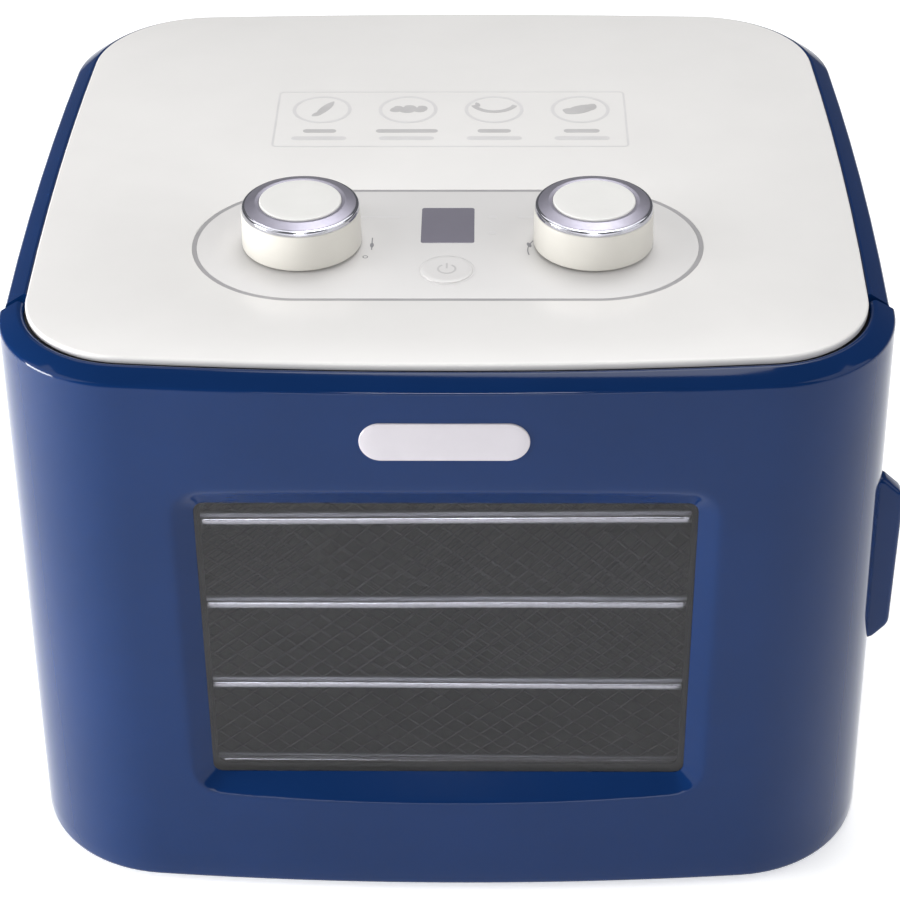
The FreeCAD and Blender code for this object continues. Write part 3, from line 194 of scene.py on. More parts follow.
def whole_loop(inset):
    """Closed outline at one inset, anticlockwise from the middle of the front."""
    plan = Plan(inset)
    seam = (DOOR_EDGE + CABINET_EDGE) / 2
    half = door_half(plan, seam) + cabinet_half(plan, seam)[1:]
    mirrored = [Vector((-point.x, point.y)) for point in reversed(half[1:-1])]
    return half + mirrored


# ---------------------------------------------------------------- mesh making

def make_piece(name, points, faces, material, body, sharp=32.0, slot=None, replaces=()):
    """A mesh object from points in millimetres, riding on a body."""
    mesh = bpy.data.meshes.new(name)
    mesh.from_pydata([Vector(point) * MM for point in points], [], faces)
    mesh.validate()
    for polygon in mesh.polygons:
        polygon.use_smooth = True
    mesh.set_sharp_from_angle(angle=math.radians(sharp))
    mesh.materials.append(material)
    piece = bpy.data.objects.new(name, mesh)
    bpy.context.scene.collection.objects.link(piece)
    fix_normals(mesh)
    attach(piece, body)
    if replaces:
        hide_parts(*replaces)
    return piece


def fix_normals(mesh):
    import bmesh
    solid = bmesh.new()
    solid.from_mesh(mesh)
    bmesh.ops.recalc_face_normals(solid, faces=solid.faces)
    solid.to_mesh(mesh)
    solid.free()


class Builder:
    """Collects points and faces for one piece."""

    def __init__(self):
        self.points = []
        self.faces = []

    def loop(self, points):
        start = len(self.points)
        self.points += [tuple(point) for point in points]
        return list(range(start, len(self.points)))

    def band(self, one, two, closed=True):
        count = len(one)
        for step in range(count if closed else count - 1):
            after = (step + 1) % count
            self.faces.append((one[step], one[after], two[after], two[step]))

    def skin(self, loops, closed=True, ring=False):
        """Bands between neighbouring loops, and from the last back to the first for a ring."""
        rows = [self.loop(points) for points in loops]
        for one, two in zip(rows, rows[1:]):
            self.band(one, two, closed)
        if ring:
            self.band(rows[-1], rows[0], closed)
        return rows

    def stack(self, loops):
        """A closed solid: a skin over the loops with a flat face at each end."""
        rows = self.skin(loops)
        self.faces.append(tuple(reversed(rows[0])))
        self.faces.append(tuple(rows[-1]))
        return rows

    def piece(self, name, material, body, **more):
        return make_piece(name, self.points, self.faces, material, body, **more)


def rounded(corners, steps=4):
    """An open or closed profile whose corners (a, b, radius) are rounded by arcs."""
    points = []
    count = len(corners)
    for step, (a, b, radius) in enumerate(corners):
        here = Vector((a, b))
        if radius <= 0 or step in (0, count - 1) and corners[0][2] == -1:
            points.append(here)
            continue
        before = (Vector(corners[step - 1][:2]) - here)
        after = (Vector(corners[(step + 1) % count][:2]) - here)
        half = before.angle(after) / 2
        reach = min(radius / math.tan(half), 0.49 * before.length, 0.49 * after.length)
        size = reach * math.tan(half)
        centre = here + (before.normalized() + after.normalized()).normalized() * (size / math.sin(half))
        start = here + before.normalized() * reach - centre
        end = here + after.normalized() * reach - centre
        swing = start.angle_signed(end)
        for share in shares(steps, True):
            turned = start.copy()
            turned.rotate(Matrix.Rotation(-swing * share, 2))
            points.append(centre + turned)
    return points


def oblong(half_x, half_y, corner, steps=6, x=0.0, y=0.0):
    """Rectangle with round corners, anticlockwise from the right side's lower end."""
    corner = max(min(corner, half_x - 0.01, half_y - 0.01), 0.02)
    points = []
    for x_sign, y_sign, start in ((1, 1, 0), (-1, 1, 90), (-1, -1, 180), (1, -1, 270)):
        for share in shares(steps, True):
            angle = math.radians(start + 90 * share)
            points.append(Vector((x + x_sign * (half_x - corner) + corner * math.cos(angle),
                                  y + y_sign * (half_y - corner) + corner * math.sin(angle))))
    return points


def circle(radius, steps=64, x=0.0, y=0.0):
    return [Vector((x + radius * math.cos(math.tau * share), y + radius * math.sin(math.tau * share)))
            for share in shares(steps)]


def edge_rows(low, high, radius_low, radius_high, steps=3):
    """Pairs of inset and height that give a slab two rounded rims."""
    rows = []
    for share in shares(steps, True):
        angle = math.pi / 2 * share
        rows.append((radius_low * (1 - math.sin(angle)), low + radius_low * (1 - math.cos(angle))))
    for share in shares(steps, True):
        angle = math.pi / 2 * share
        rows.append((radius_high * (1 - math.cos(angle)), high - radius_high * (1 - math.sin(angle))))
    return rows


def slab_piece(name, shape, rows, material, body, place=None, **more):
    """A slab whose outline is shape(inset) at each row's height; place() puts it in space."""
    put = place or (lambda point, height: (point.x, point.y, height))
    build = Builder()
    build.stack([[put(point, height) for point in shape(inset)] for inset, height in rows])
    return build.piece(name, material, body, **more)


def lathe_piece(name, profile, centre, material, body, steps=96, **more):
    """A ring turned about an upright axis from a closed profile of radii and heights."""
    build = Builder()
    loops = [[(centre[0] + point.x * math.cos(math.tau * share), centre[1] + point.x * math.sin(math.tau * share),
               point.y) for share in shares(steps)] for point in profile]
    build.skin(loops, ring=True)
    return build.piece(name, material, body, **more)


# ---------------------------------------------------------------- materials

def srgb(red, green, blue):
    """A colour given in 0 to 255 display values, as linear light."""
    def linear(level):
        level /= 255
        return level / 12.92 if level <= 0.04045 else ((level + 0.055) / 1.055) ** 2.4
    return (linear(red), linear(green), linear(blue), 1.0)


def surface(name, colour, other, roughness, spread, grain, bump, metallic=0.0, ior=1.5, coat=0.0,
            stretch=(1, 1, 1), detail=6.0, depth=0.05):
    """Principled finish whose colour, roughness and height vary with noise; grain is in mm."""
    material = bpy.data.materials.new(name)
    material.use_nodes = True
    nodes, links = material.node_tree.nodes, material.node_tree.links
    shader = nodes["Principled BSDF"]
    shader.inputs["Metallic"].default_value = metallic
    shader.inputs["IOR"].default_value = ior
    shader.inputs["Coat Weight"].default_value = coat
    shader.inputs["Coat Roughness"].default_value = 0.04
    where = nodes.new("ShaderNodeTexCoord")
    scale = nodes.new("ShaderNodeMapping")
    scale.inputs["Scale"].default_value = stretch
    links.new(where.outputs["Object"], scale.inputs["Vector"])

    def noise(size, rough):
        made = nodes.new("ShaderNodeTexNoise")
        made.inputs["Scale"].default_value = 1.0 / (size * MM)
        made.inputs["Detail"].default_value = detail
        made.inputs["Roughness"].default_value = rough
        links.new(scale.outputs["Vector"], made.inputs["Vector"])
        return made.outputs["Fac"]

    broad = noise(grain * 14, 0.6)
    fine = noise(grain, 0.55)
    ramp = nodes.new("ShaderNodeValToRGB")
    ramp.color_ramp.elements[0].position = 0.3
    ramp.color_ramp.elements[1].position = 0.7
    ramp.color_ramp.elements[0].color = colour
    ramp.color_ramp.elements[1].color = other
    links.new(broad, ramp.inputs["Fac"])
    links.new(ramp.outputs["Color"], shader.inputs["Base Color"])
    reach = nodes.new("ShaderNodeMapRange")
    reach.inputs["To Min"].default_value = max(roughness - spread, 0.02)
    reach.inputs["To Max"].default_value = roughness + spread
    links.new(fine, reach.inputs["Value"])
    links.new(reach.outputs["Result"], shader.inputs["Roughness"])
    if bump:
        relief = nodes.new("ShaderNodeBump")
        relief.inputs["Strength"].default_value = bump
        relief.inputs["Distance"].default_value = depth * MM
        links.new(fine, relief.inputs["Height"])
        links.new(relief.outputs["Normal"], shader.inputs["Normal"])
    return material


def clear(name, tint, other, roughness, ior=1.45):
    """Tinted clear plastic or glass with faint smears."""
    material = surface(name, tint, other, roughness, roughness * 0.5, 9.0, 0.0, ior=ior)
    material.node_tree.nodes["Principled BSDF"].inputs["Transmission Weight"].default_value = 1.0
    return material


def board_finish():
    """Green board with lighter tracks."""
    material = surface("circuit_board", srgb(16, 70, 42), srgb(22, 84, 50), 0.45, 0.08, 1.0, 0.15)
    nodes, links = material.node_tree.nodes, material.node_tree.links
    shader = nodes["Principled BSDF"]
    brick = nodes.new("ShaderNodeTexBrick")
    brick.inputs["Scale"].default_value = 160
    brick.inputs["Mortar Size"].default_value = 0.035
    brick.inputs["Mortar"].default_value = srgb(70, 130, 70)
    where = nodes["Texture Coordinate"]
    ramp = nodes["Color Ramp"]
    links.new(where.outputs["Object"], brick.inputs["Vector"])
    links.new(ramp.outputs["Color"], brick.inputs["Color1"])
    links.new(ramp.outputs["Color"], brick.inputs["Color2"])
    links.new(brick.outputs["Color"], shader.inputs["Base Color"])
    return material


BLUE = surface("blue_gloss", srgb(7, 38, 82), srgb(9, 41, 88), 0.08, 0.02, 5.0, 0.02, ior=1.31)
WHITE = surface("white_gloss", srgb(231, 229, 227), srgb(234, 232, 230), 0.22, 0.04, 3.0, 0.02)
PANEL = surface("panel_gloss", srgb(219, 217, 216), srgb(222, 220, 219), 0.25, 0.04, 3.0, 0.02)
CREAM = surface("cream_plastic", srgb(222, 219, 211), srgb(226, 223, 215), 0.32, 0.06, 1.2, 0.05)
CAP = surface("cap_plastic", srgb(232, 231, 228), srgb(236, 235, 232), 0.3, 0.06, 1.2, 0.04)
GREY = surface("grey_trim", srgb(158, 156, 158), srgb(168, 166, 168), 0.35, 0.08, 1.0, 0.05)
CHARCOAL = surface("charcoal_plastic", srgb(34, 34, 37), srgb(42, 42, 45), 0.5, 0.1, 0.6, 0.3)
ENAMEL = surface("badge_enamel", srgb(188, 184, 190), srgb(194, 190, 196), 0.25, 0.04, 2.0, 0.03)
CHROME = surface("chrome", srgb(196, 196, 206), srgb(212, 212, 220), 0.09, 0.03, 2.0, 0.03, metallic=1.0)
SATIN = surface("satin_chrome", srgb(150, 147, 160), srgb(164, 161, 173), 0.42, 0.05, 1.5, 0.03, metallic=0.85)
TRAY_STEEL = surface("tray_steel", srgb(250, 250, 252), srgb(254, 254, 255), 0.24, 0.03, 8.0, 0.01, metallic=1.0)
WIRE_STEEL = surface("wire_steel", srgb(176, 177, 182), srgb(192, 193, 198), 0.35, 0.04, 8.0, 0.01, metallic=0.9)
MESH_STEEL = surface("mesh_steel", srgb(128, 128, 132), srgb(142, 142, 146), 0.55, 0.08, 1.0, 0.1, metallic=0.6)
SHEET = surface("sheet_steel", srgb(72, 73, 76), srgb(86, 87, 90), 0.42, 0.1, 1.2, 0.1, metallic=0.6,
                stretch=(1, 1, 0.05))
DARK = surface("dark_steel", srgb(52, 52, 55), srgb(66, 66, 70), 0.45, 0.1, 1.0, 0.15, metallic=0.8)
BOARD = board_finish()
PARTS = surface("electronic_parts", srgb(28, 28, 30), srgb(44, 44, 48), 0.4, 0.1, 1.0, 0.1)
BRASS = surface("brass", srgb(190, 150, 80), srgb(205, 165, 92), 0.28, 0.08, 0.8, 0.1, metallic=1.0)
RUBBER = surface("rubber", srgb(26, 26, 27), srgb(36, 36, 37), 0.75, 0.1, 0.5, 0.4)
MAGNET = surface("magnet", srgb(70, 70, 74), srgb(88, 88, 92), 0.35, 0.1, 1.0, 0.1, metallic=0.9)
GLASS = clear("smoked_glass", srgb(184, 184, 189), srgb(188, 188, 193), 0.02, ior=1.36)
LENS = surface("display_glass", srgb(122, 119, 131), srgb(128, 125, 137), 0.1, 0.02, 4.0, 0.01, coat=0.6)
INK = surface("print_grey", srgb(184, 182, 182), srgb(194, 192, 192), 0.5, 0.1, 0.8, 0.1)
DARK_INK = surface("print_dark", srgb(128, 127, 131), srgb(140, 139, 143), 0.5, 0.1, 0.8, 0.1)
FAINT_INK = surface("print_pale", srgb(208, 206, 206), srgb(214, 212, 212), 0.5, 0.1, 0.8, 0.1)


def paint_frame():
    """A procedural finish for every CAD node, shown or not."""
    finishes = {
        "blue_gloss": ["cabinet_shell", "door_shell", "door_handle"],
        "white_gloss": ["top_plate"],
        "cream_plastic": ["left_knob_body", "right_knob_body", "power_button", "control_panel"],
        "cap_plastic": ["left_knob_cap", "right_knob_cap"],
        "grey_trim": ["panel_trim"],
        "badge_enamel": ["door_badge"],
        "smoked_glass": ["window_glass"],
        "display_glass": ["display_lens"],
        "chrome": ["left_knob_ring", "right_knob_ring"],
        "tray_steel": [f"tray_frame_{number}" for number in (1, 2, 3, 4)],
        "mesh_steel": [f"tray_mesh_{number}" for number in (1, 2, 3, 4)],
        "sheet_steel": ["chamber_liner", "left_tray_rails", "right_tray_rails", "rear_baffle", "heater_frame",
                        "motor_bracket", "hinge_brackets", "strike_plates"],
        "dark_steel": ["heater_coil", "fan_motor", "motor_shaft", "hinge_pins", "housing_screws",
                       "door_panel_screws", "left_encoder_shaft", "right_encoder_shaft"],
        "circuit_board": ["control_board", "power_board"],
        "electronic_parts": ["power_board_parts", "display_module", "power_switch", "encoders", "thermal_cutout"],
        "brass": ["encoder_nuts", "temperature_probe"],
        "rubber": ["rubber_feet", "window_gasket"],
        "magnet": ["door_magnets"],
        "charcoal_plastic": ["base_pan", "front_frame", "door_inner_panel", "fan_impeller", "rear_vent_cover",
                             "power_inlet"],
    }
    for finish, names in finishes.items():
        for name in names:
            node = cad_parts[name]
            node.data.materials.clear()
            node.data.materials.append(bpy.data.materials[finish])
    missed = [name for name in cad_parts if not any(name in names for names in finishes.values())]
    if missed:
        raise ValueError(f"no finish for {missed}")


# ---------------------------------------------------------------- shells

def drafted(z):
    """How far the sides stand out at a level, as a negative inset."""
    return -SIDE_DRAFT * max(0.0, 1 - (z - FOOT) / (SHOULDER - FOOT))


def levels_between(low, high, count):
    return [low + (high - low) * share for share in shares(count, True)]


WINDOW_LEVELS = ([PATCH_LOW + 2.0 * step for step in range(12)]
                 + levels_between(PATCH_LOW + 24, PATCH_HIGH - 24, 14)[0:]
                 + [PATCH_HIGH - 22 + 2.0 * step for step in range(12)])


def drop_near(values):
    """The levels without repeats."""
    kept = []
    for level in values:
        if not kept or level - kept[-1] > 0.01:
            kept.append(level)
    return kept


def door_section():
    """Closed profile of the door's wall as (inset, level), and how many rows its outside has."""
    outer = [(2.2 + drafted(FOOT), FOOT), (1.0 + drafted(FOOT), FOOT + 0.25), (0.25 + drafted(FOOT), FOOT + 1.0),
             (drafted(FOOT + 2.2), FOOT + 2.2)]
    levels = drop_near([12.0, 22.0] + WINDOW_LEVELS + [214.0, 224.0, 232.0, 238.0])
    outer += [(drafted(level), level) for level in levels]
    top = SHOULDER + BEVEL_RISE * (BEVEL_RUN - RIM_GAP) / BEVEL_RUN
    bevel = rounded([(0, 239.5, -1), (0, SHOULDER, 2.6), (BEVEL_RUN - RIM_GAP, top, 2.0),
                     (BEVEL_RUN - RIM_GAP, SHOULDER - WALL, 0.4), (WALL, SHOULDER - WALL, -1)], 6)
    inner_levels = drop_near([12.0, 22.0] + WINDOW_LEVELS + [214.0, 224.0, 232.0])
    inner = [(WALL + drafted(level), level) for level in reversed(inner_levels)]
    lip = [(WALL + drafted(FOOT + WALL), FOOT + WALL), (12.0, FOOT + WALL), (12.0, FOOT)]
    profile = [Vector(pair) for pair in outer] + bevel + [Vector(pair) for pair in inner + lip]
    return profile, len(outer)


def seam_end(x_sign, inset, level):
    """Where a row of the door ends: at the seam, or round the hinge axis at the left of the rim."""
    if x_sign > 0 or level < SHOULDER - WALL - 0.3:
        return DOOR_EDGE
    x = -HALF_WIDTH + inset
    apart = abs(x - HINGE.x)
    if apart > RIM_SWING:
        return HINGE.y
    return min(DOOR_EDGE, HINGE.y + math.sqrt(RIM_SWING ** 2 - apart ** 2))


def door_shell():
    """Door skin, rim, window recess and inner skin as one closed mesh."""
    build = Builder()
    profile, outside = door_section()
    rows = []
    for inset, level in profile:
        plan = Plan(inset)
        right = door_half(plan, DOOR_EDGE)
        left = door_half(plan, seam_end(-1, inset, level))
        points = [(-point.x, point.y, level) for point in reversed(left[1:])]
        points += [(point.x, point.y, level) for point in right]
        rows.append(build.loop(points))
    columns = len(rows[0])
    centre = len(door_half(Plan(0), DOOR_EDGE)) - 1
    reach = len(FRONT_COLUMNS) - 1
    first, last = centre - reach, centre + reach

    def in_patch(one, two):
        return min(one.y, two.y) > PATCH_LOW - 0.01 and max(one.y, two.y) < PATCH_HIGH + 0.01

    def is_skin(one, two):
        return abs(one.x - two.x) < 0.5 * WALL and one.x < 2 * WALL

    holes = {}
    for step in range(len(profile)):
        after = (step + 1) % len(profile)
        one, two = profile[step], profile[after]
        open_here = in_patch(one, two) and is_skin(one, two)
        side = "outer" if step < outside else "inner"
        for column in range(columns - 1):
            if open_here and first <= column < last:
                holes.setdefault(side, set()).update((step, after))
                continue
            build.faces.append((rows[step][column], rows[step][column + 1],
                                rows[after][column + 1], rows[after][column]))
    build.faces.append(tuple(row[0] for row in rows))
    build.faces.append(tuple(row[-1] for row in reversed(rows)))

    def rim(side):
        """The hole's edge in one skin, anticlockwise seen from the front."""
        steps = sorted(holes[side], key=lambda step: profile[step].y)
        lowest, highest = steps[0], steps[-1]
        edge = [rows[lowest][column] for column in range(first, last)]
        edge += [rows[step][last] for step in steps[:-1]]
        edge += [rows[highest][column] for column in range(last, first, -1)]
        edge += [rows[step][first] for step in reversed(steps[1:])]
        return edge

    outer, inner = rim("outer"), rim("inner")
    recess_rows = [build.loop(loop) for loop in recess_loops(outer, build.points)]
    chain = [outer] + recess_rows + [inner]
    for one, two in zip(chain, chain[1:]):
        build.band(one, two)
    return build.piece("door_skin", BLUE, "door", sharp=40, slot="blue_gloss", replaces=["door_shell"])


def face_y(x, z):
    """Front surface of the door at a place inside the window patch."""
    return Plan(drafted(z)).front(x).y


def glass_plane(z):
    """Depth line of the face at x = 0, which the window's planes follow."""
    return face_y(0.0, WINDOW_MIDDLE) + SIDE_DRAFT / (SHOULDER - FOOT) * (z - WINDOW_MIDDLE)


RECESS_STEPS = ([0.0, 0.12, 0.4, 0.9, 1.5, 2.2] + [2.8 + 0.35 * step for step in range(18)] + [9.6, 10.6])
RECESS_FILLET = 1.1                      # softness of the recess's outer edge
CORNER_FLARE = 0.05                      # extra height of the recess towards its corners


def recess_loops(edge, points):
    """Loops from the patch's edge down the tapered recess to the glass."""
    loops = []
    for spread in reversed(RECESS_STEPS):
        half_x = WINDOW_X + FLARE_X * spread
        half_z = WINDOW_Z + FLARE_Z * spread
        corner = WINDOW_CORNER + FLARE_X * spread
        loop = []
        for index in edge:
            x, _, z = points[index]
            across = x / PATCH_X * half_x
            upward = (z - (PATCH_LOW + PATCH_HIGH) / 2) / ((PATCH_HIGH - PATCH_LOW) / 2) * half_z
            across, upward = pull_corner(across, upward, half_x - corner, half_z - corner, corner)
            upward *= 1 + CORNER_FLARE * spread / 10 * (across / half_x) ** 2
            level = WINDOW_MIDDLE + upward
            face = face_y(across, level)
            slope = glass_plane(level) + WINDOW_DEPTH - spread - 0.02
            softness = RECESS_FILLET * min(1.0, spread / 2.0) * min(1.0, (11.0 - spread) / 1.5)
            low_edge = max(0.0, min(1.0, (-upward / half_z - 0.7) / 0.3))
            softness *= 1 - 0.75 * low_edge
            loop.append((across, soft_maximum(face, slope, softness), level))
        loops.append(loop)
    return loops


def soft_maximum(one, two, softness):
    return (one + two + math.sqrt((one - two) ** 2 + softness ** 2)) / 2


def pull_corner(x, z, inner_x, inner_z, corner):
    """Moves a point of a rectangle's edge onto its rounded corner."""
    past_x, past_z = abs(x) - inner_x, abs(z) - inner_z
    if past_x <= 0 or past_z <= 0:
        return x, z
    away = Vector((past_x, past_z)).normalized() * corner
    return math.copysign(inner_x + away.x, x), math.copysign(inner_z + away.y, z)


def cabinet_shell():
    """Sides and back with the bevel, the ledge and the two openings in the back."""
    vent_low, vent_high = box("rear_vent_cover")
    inlet_low, inlet_high = box("power_inlet")
    flange = 4.0
    vent_levels = [vent_low.z + flange - 0.3, vent_high.z - flange + 0.3]
    inlet_levels = [inlet_low.z - 0.3, inlet_high.z + 0.3]
    levels = sorted([12.0, *inlet_levels, *vent_levels, 90.0, 130.0, 200.0, 220.0, 232.0])
    step = CABINET_STEP
    outer = [Vector((step + 1.2 + drafted(FOOT), FOOT)), Vector((step + 0.4 + drafted(FOOT), FOOT + 0.3)),
             Vector((step + drafted(FOOT + 1.2), FOOT + 1.2))]
    outer += [Vector((step + drafted(level), level)) for level in levels]
    slope = BEVEL_RISE / (BEVEL_RUN - step)
    rim = BEVEL_RUN - 0.3
    bevel = rounded([(step, 239.5, -1), (step, SHOULDER, 2.6), (rim, SHOULDER + slope * (rim - step), 1.4),
                     (rim, PLATE_UNDER, 0), (BEVEL_RUN + 6, PLATE_UNDER, 0.5), (BEVEL_RUN + 6, SHOULDER - WALL, 0.5),
                     (step + WALL, SHOULDER - WALL, -1)], 6)
    inner = [Vector((step + WALL + drafted(level), level)) for level in reversed(levels)]
    inner.append(Vector((step + WALL + drafted(FOOT), FOOT)))
    profile = outer + bevel + inner
    build = Builder()
    rows = []
    for inset, level in profile:
        half = cabinet_half(Plan(inset), CABINET_EDGE)
        points = [(point.x, point.y, level) for point in half]
        points += [(-point.x, point.y, level) for point in reversed(half[:-1])]
        rows.append(build.loop(points))
    columns = len(rows[0])
    edge_x = BACK_COLUMNS[3]
    windows = [(-edge_x, edge_x, *vent_levels), (BACK_COLUMNS[4], BACK_COLUMNS[5], *inlet_levels)]

    def opening(row, column):
        corners = [build.points[index] for index in (rows[row][column], rows[row][column + 1])]
        if min(corner[1] for corner in corners) < 100:
            return None
        x = (corners[0][0] + corners[1][0]) / 2
        level = (profile[row].y + profile[(row + 1) % len(profile)].y) / 2
        skin = abs(profile[row].x - profile[(row + 1) % len(profile)].x) < 1.0
        for number, (left, right, low, high) in enumerate(windows):
            if skin and left < x < right and low < level < high:
                return number
        return None

    twin = {}
    for row, spot in enumerate(profile):
        for other, place in enumerate(profile):
            if abs(spot.y - place.y) < 1e-6 and abs(place.x - spot.x - WALL) < 0.01:
                twin[row] = other
    for row in range(len(profile)):
        after = (row + 1) % len(profile)
        for column in range(columns - 1):
            here = opening(row, column)
            if here is None:
                build.faces.append((rows[row][column], rows[row][column + 1],
                                    rows[after][column + 1], rows[after][column]))
                continue
            if row not in twin or after not in twin:
                continue
            for beside, one, two in ((column - 1, (row, column), (after, column)),
                                     (column + 1, (row, column + 1), (after, column + 1))):
                if opening(row, beside) != here:
                    build.faces.append((rows[one[0]][one[1]], rows[two[0]][two[1]],
                                        rows[twin[two[0]]][two[1]], rows[twin[one[0]]][one[1]]))
            for beside, line in ((row - 1, row), (row + 1, after)):
                if opening(beside, column) != here:
                    build.faces.append((rows[line][column], rows[line][column + 1],
                                        rows[twin[line]][column + 1], rows[twin[line]][column]))
    build.faces.append(tuple(row[0] for row in rows))
    build.faces.append(tuple(row[-1] for row in reversed(rows)))
    return build.piece("cabinet_skin", BLUE, "cabinet", sharp=40, slot="blue_gloss", replaces=["cabinet_shell"])


# ---------------------------------------------------------------- top plate and controls

PANEL_Y = middle("control_panel").y


def panel_outline(inset, reach=PANEL_HALF, radius=PANEL_RADIUS):
    return oblong(reach - inset, radius - inset, radius - inset, 24, 0.0, PANEL_Y)


def top_plate():
    """White plate with softly rounded rims round the cut-out for the controls."""
    build = Builder()
    outside = edge_rows(PLATE_UNDER, PLATE_TOP, 0.3, 0.9, 4)
    outer = build.skin([[(*point, level) for point in whole_loop(BEVEL_RUN + inset)] for inset, level in outside])
    hole = edge_rows(PLATE_UNDER, PLATE_TOP, 0.2, 0.3, 4)
    inner = build.skin([[(*point, level) for point in panel_outline(-TRIM - inset)] for inset, level in hole])
    piece = build.piece("plate", WHITE, "cabinet", sharp=35, slot="white_gloss", replaces=["top_plate"])
    fill_between(piece, [(outer[0], inner[0]), (outer[-1], inner[-1])])
    return piece


def fill_between(piece, pairs):
    """Flat faces between an outer and an inner loop of the piece's points."""
    import bmesh
    solid = bmesh.new()
    solid.from_mesh(piece.data)
    solid.verts.ensure_lookup_table()
    for loops in pairs:
        rim = []
        for loop in loops:
            for step, index in enumerate(loop):
                ends = (solid.verts[index], solid.verts[loop[(step + 1) % len(loop)]])
                rim.append(solid.edges.get(ends) or solid.edges.new(ends))
        bmesh.ops.triangle_fill(solid, use_beauty=True, edges=rim)
    bmesh.ops.recalc_face_normals(solid, faces=solid.faces)
    for face in solid.faces:
        face.smooth = True
    solid.to_mesh(piece.data)
    solid.free()
    piece.data.set_sharp_from_angle(angle=math.radians(35))


def control_panel():
    """Oblong panel and the narrow grey outline that lies in a groove round it."""
    slab_piece("panel", panel_outline, edge_rows(PLATE_TOP - 2.4, PLATE_TOP - 0.03, 0.2, 0.3, 4), PANEL, "cabinet",
               slot="cream_plastic", replaces=["control_panel"])
    build = Builder()
    low, high = PLATE_TOP - 2.4, PLATE_TOP - 0.15
    section = [(-TRIM + 0.03, low), (-TRIM + 0.03, high), (-0.03, high), (-0.03, low)]
    build.skin([[(*point, level) for point in panel_outline(inset)] for inset, level in section], ring=True)
    build.piece("panel_outline", GREY, "cabinet", slot="grey_trim", replaces=["panel_trim"])


def display():
    low, high = box("display_lens")
    centre = (low + high) / 2
    half_x, half_y = (high.x - low.x) / 2, (high.y - low.y) / 2

    def shape(inset):
        return oblong(half_x - inset, half_y - inset, 1.1, 5, centre.x, centre.y)

    slab_piece("display_window", shape, edge_rows(PLATE_TOP - 0.7, PLATE_TOP + 0.08, 0.1, 0.12), LENS, "cabinet",
               slot="display_glass", replaces=["display_lens"])


def knob(side):
    """Cream skirt, chrome ring and white cap, each turned with rounded edges."""
    centre = middle(f"{side}_knob_body")
    spot = (centre.x, centre.y)
    base = PLATE_TOP
    body = f"{side}_knob"
    radius, shoulder, top = KNOB_RADIUS, base + 15.4, base + 19.2
    inside = radius - 2.2
    skirt = rounded([(3.0, shoulder - 3, 0), (inside, shoulder - 3, 0.8), (inside, base + 0.8, 0.4),
                     (radius, base + 0.8, 0.7), (radius - 0.3, shoulder, 0.5), (3.0, shoulder, 0)], 5)
    lathe_piece(f"{side}_knob_skirt", skirt, spot, CREAM, body, slot="cream_plastic",
                replaces=[f"{side}_knob_body"])
    lip = rounded([(17.0, shoulder + LOOSE, 0), (22.75, shoulder + LOOSE, 0.2), (22.45, shoulder + 1.9, 0.7),
                   (21.4, shoulder + 2.1, 0.2), (17.0, shoulder + 0.6, 0)], 5)
    lathe_piece(f"{side}_knob_lip", lip, spot, CHROME, body, slot="chrome", replaces=[f"{side}_knob_ring"])
    ring = rounded([(16.0, shoulder + 0.7, 0), (21.45, shoulder + 2.0, 0.1), (21.35, shoulder + 2.25, 0.15),
                    (17.4, top - 0.35, 0.3), (16.0, top - 0.55, 0.1)], 5)
    lathe_piece(f"{side}_knob_ring_face", ring, spot, SATIN, body, slot="chrome",
                replaces=[f"{side}_knob_ring"])
    cap = rounded([(0.02, shoulder + LOOSE, 0), (15.9, shoulder + LOOSE, 0), (15.9, top, 0.7),
                   (11.0, top - 0.06, 4.0), (0.02, top - 0.12, 0)], 5)
    lathe_piece(f"{side}_knob_face", cap, spot, CAP, body, slot="cap_plastic", replaces=[f"{side}_knob_cap"])


def power_button():
    """Round button with a rounded rim, its printed rings and power mark."""
    low, high = box("power_button")
    centre = (low + high) / 2
    spot = (centre.x, centre.y)
    radius = (high.x - low.x) / 2
    profile = rounded([(0.02, low.z, 0), (2.5, low.z, 0.2), (2.5, high.z - 2.9, 0), (radius, high.z - 2.9, 0.2),
                       (radius, high.z - 0.12, 0.5), (8.2, high.z, 0.6), (0.02, high.z - 0.1, 0)], 4)
    lathe_piece("power_key", profile, spot, PANEL, "power_button", slot="cream_plastic", replaces=["power_button"])
    ink = Art(high.z - 0.09)
    ink.ring(spot, 7.2, 0.28)
    ink.arc(spot, 3.3, 0.75, 125, 415)
    ink.line([(spot[0], spot[1] + 0.6), (spot[0], spot[1] + 4.1)], 0.75)
    ink.piece("power_mark", INK, "power_button", "grey_trim")
    halo = Art(PLATE_TOP)
    halo.ring(spot, radius + 0.75, 0.35)
    halo.piece("power_halo", FAINT_INK, "cabinet", "grey_trim")


# ---------------------------------------------------------------- printed marks

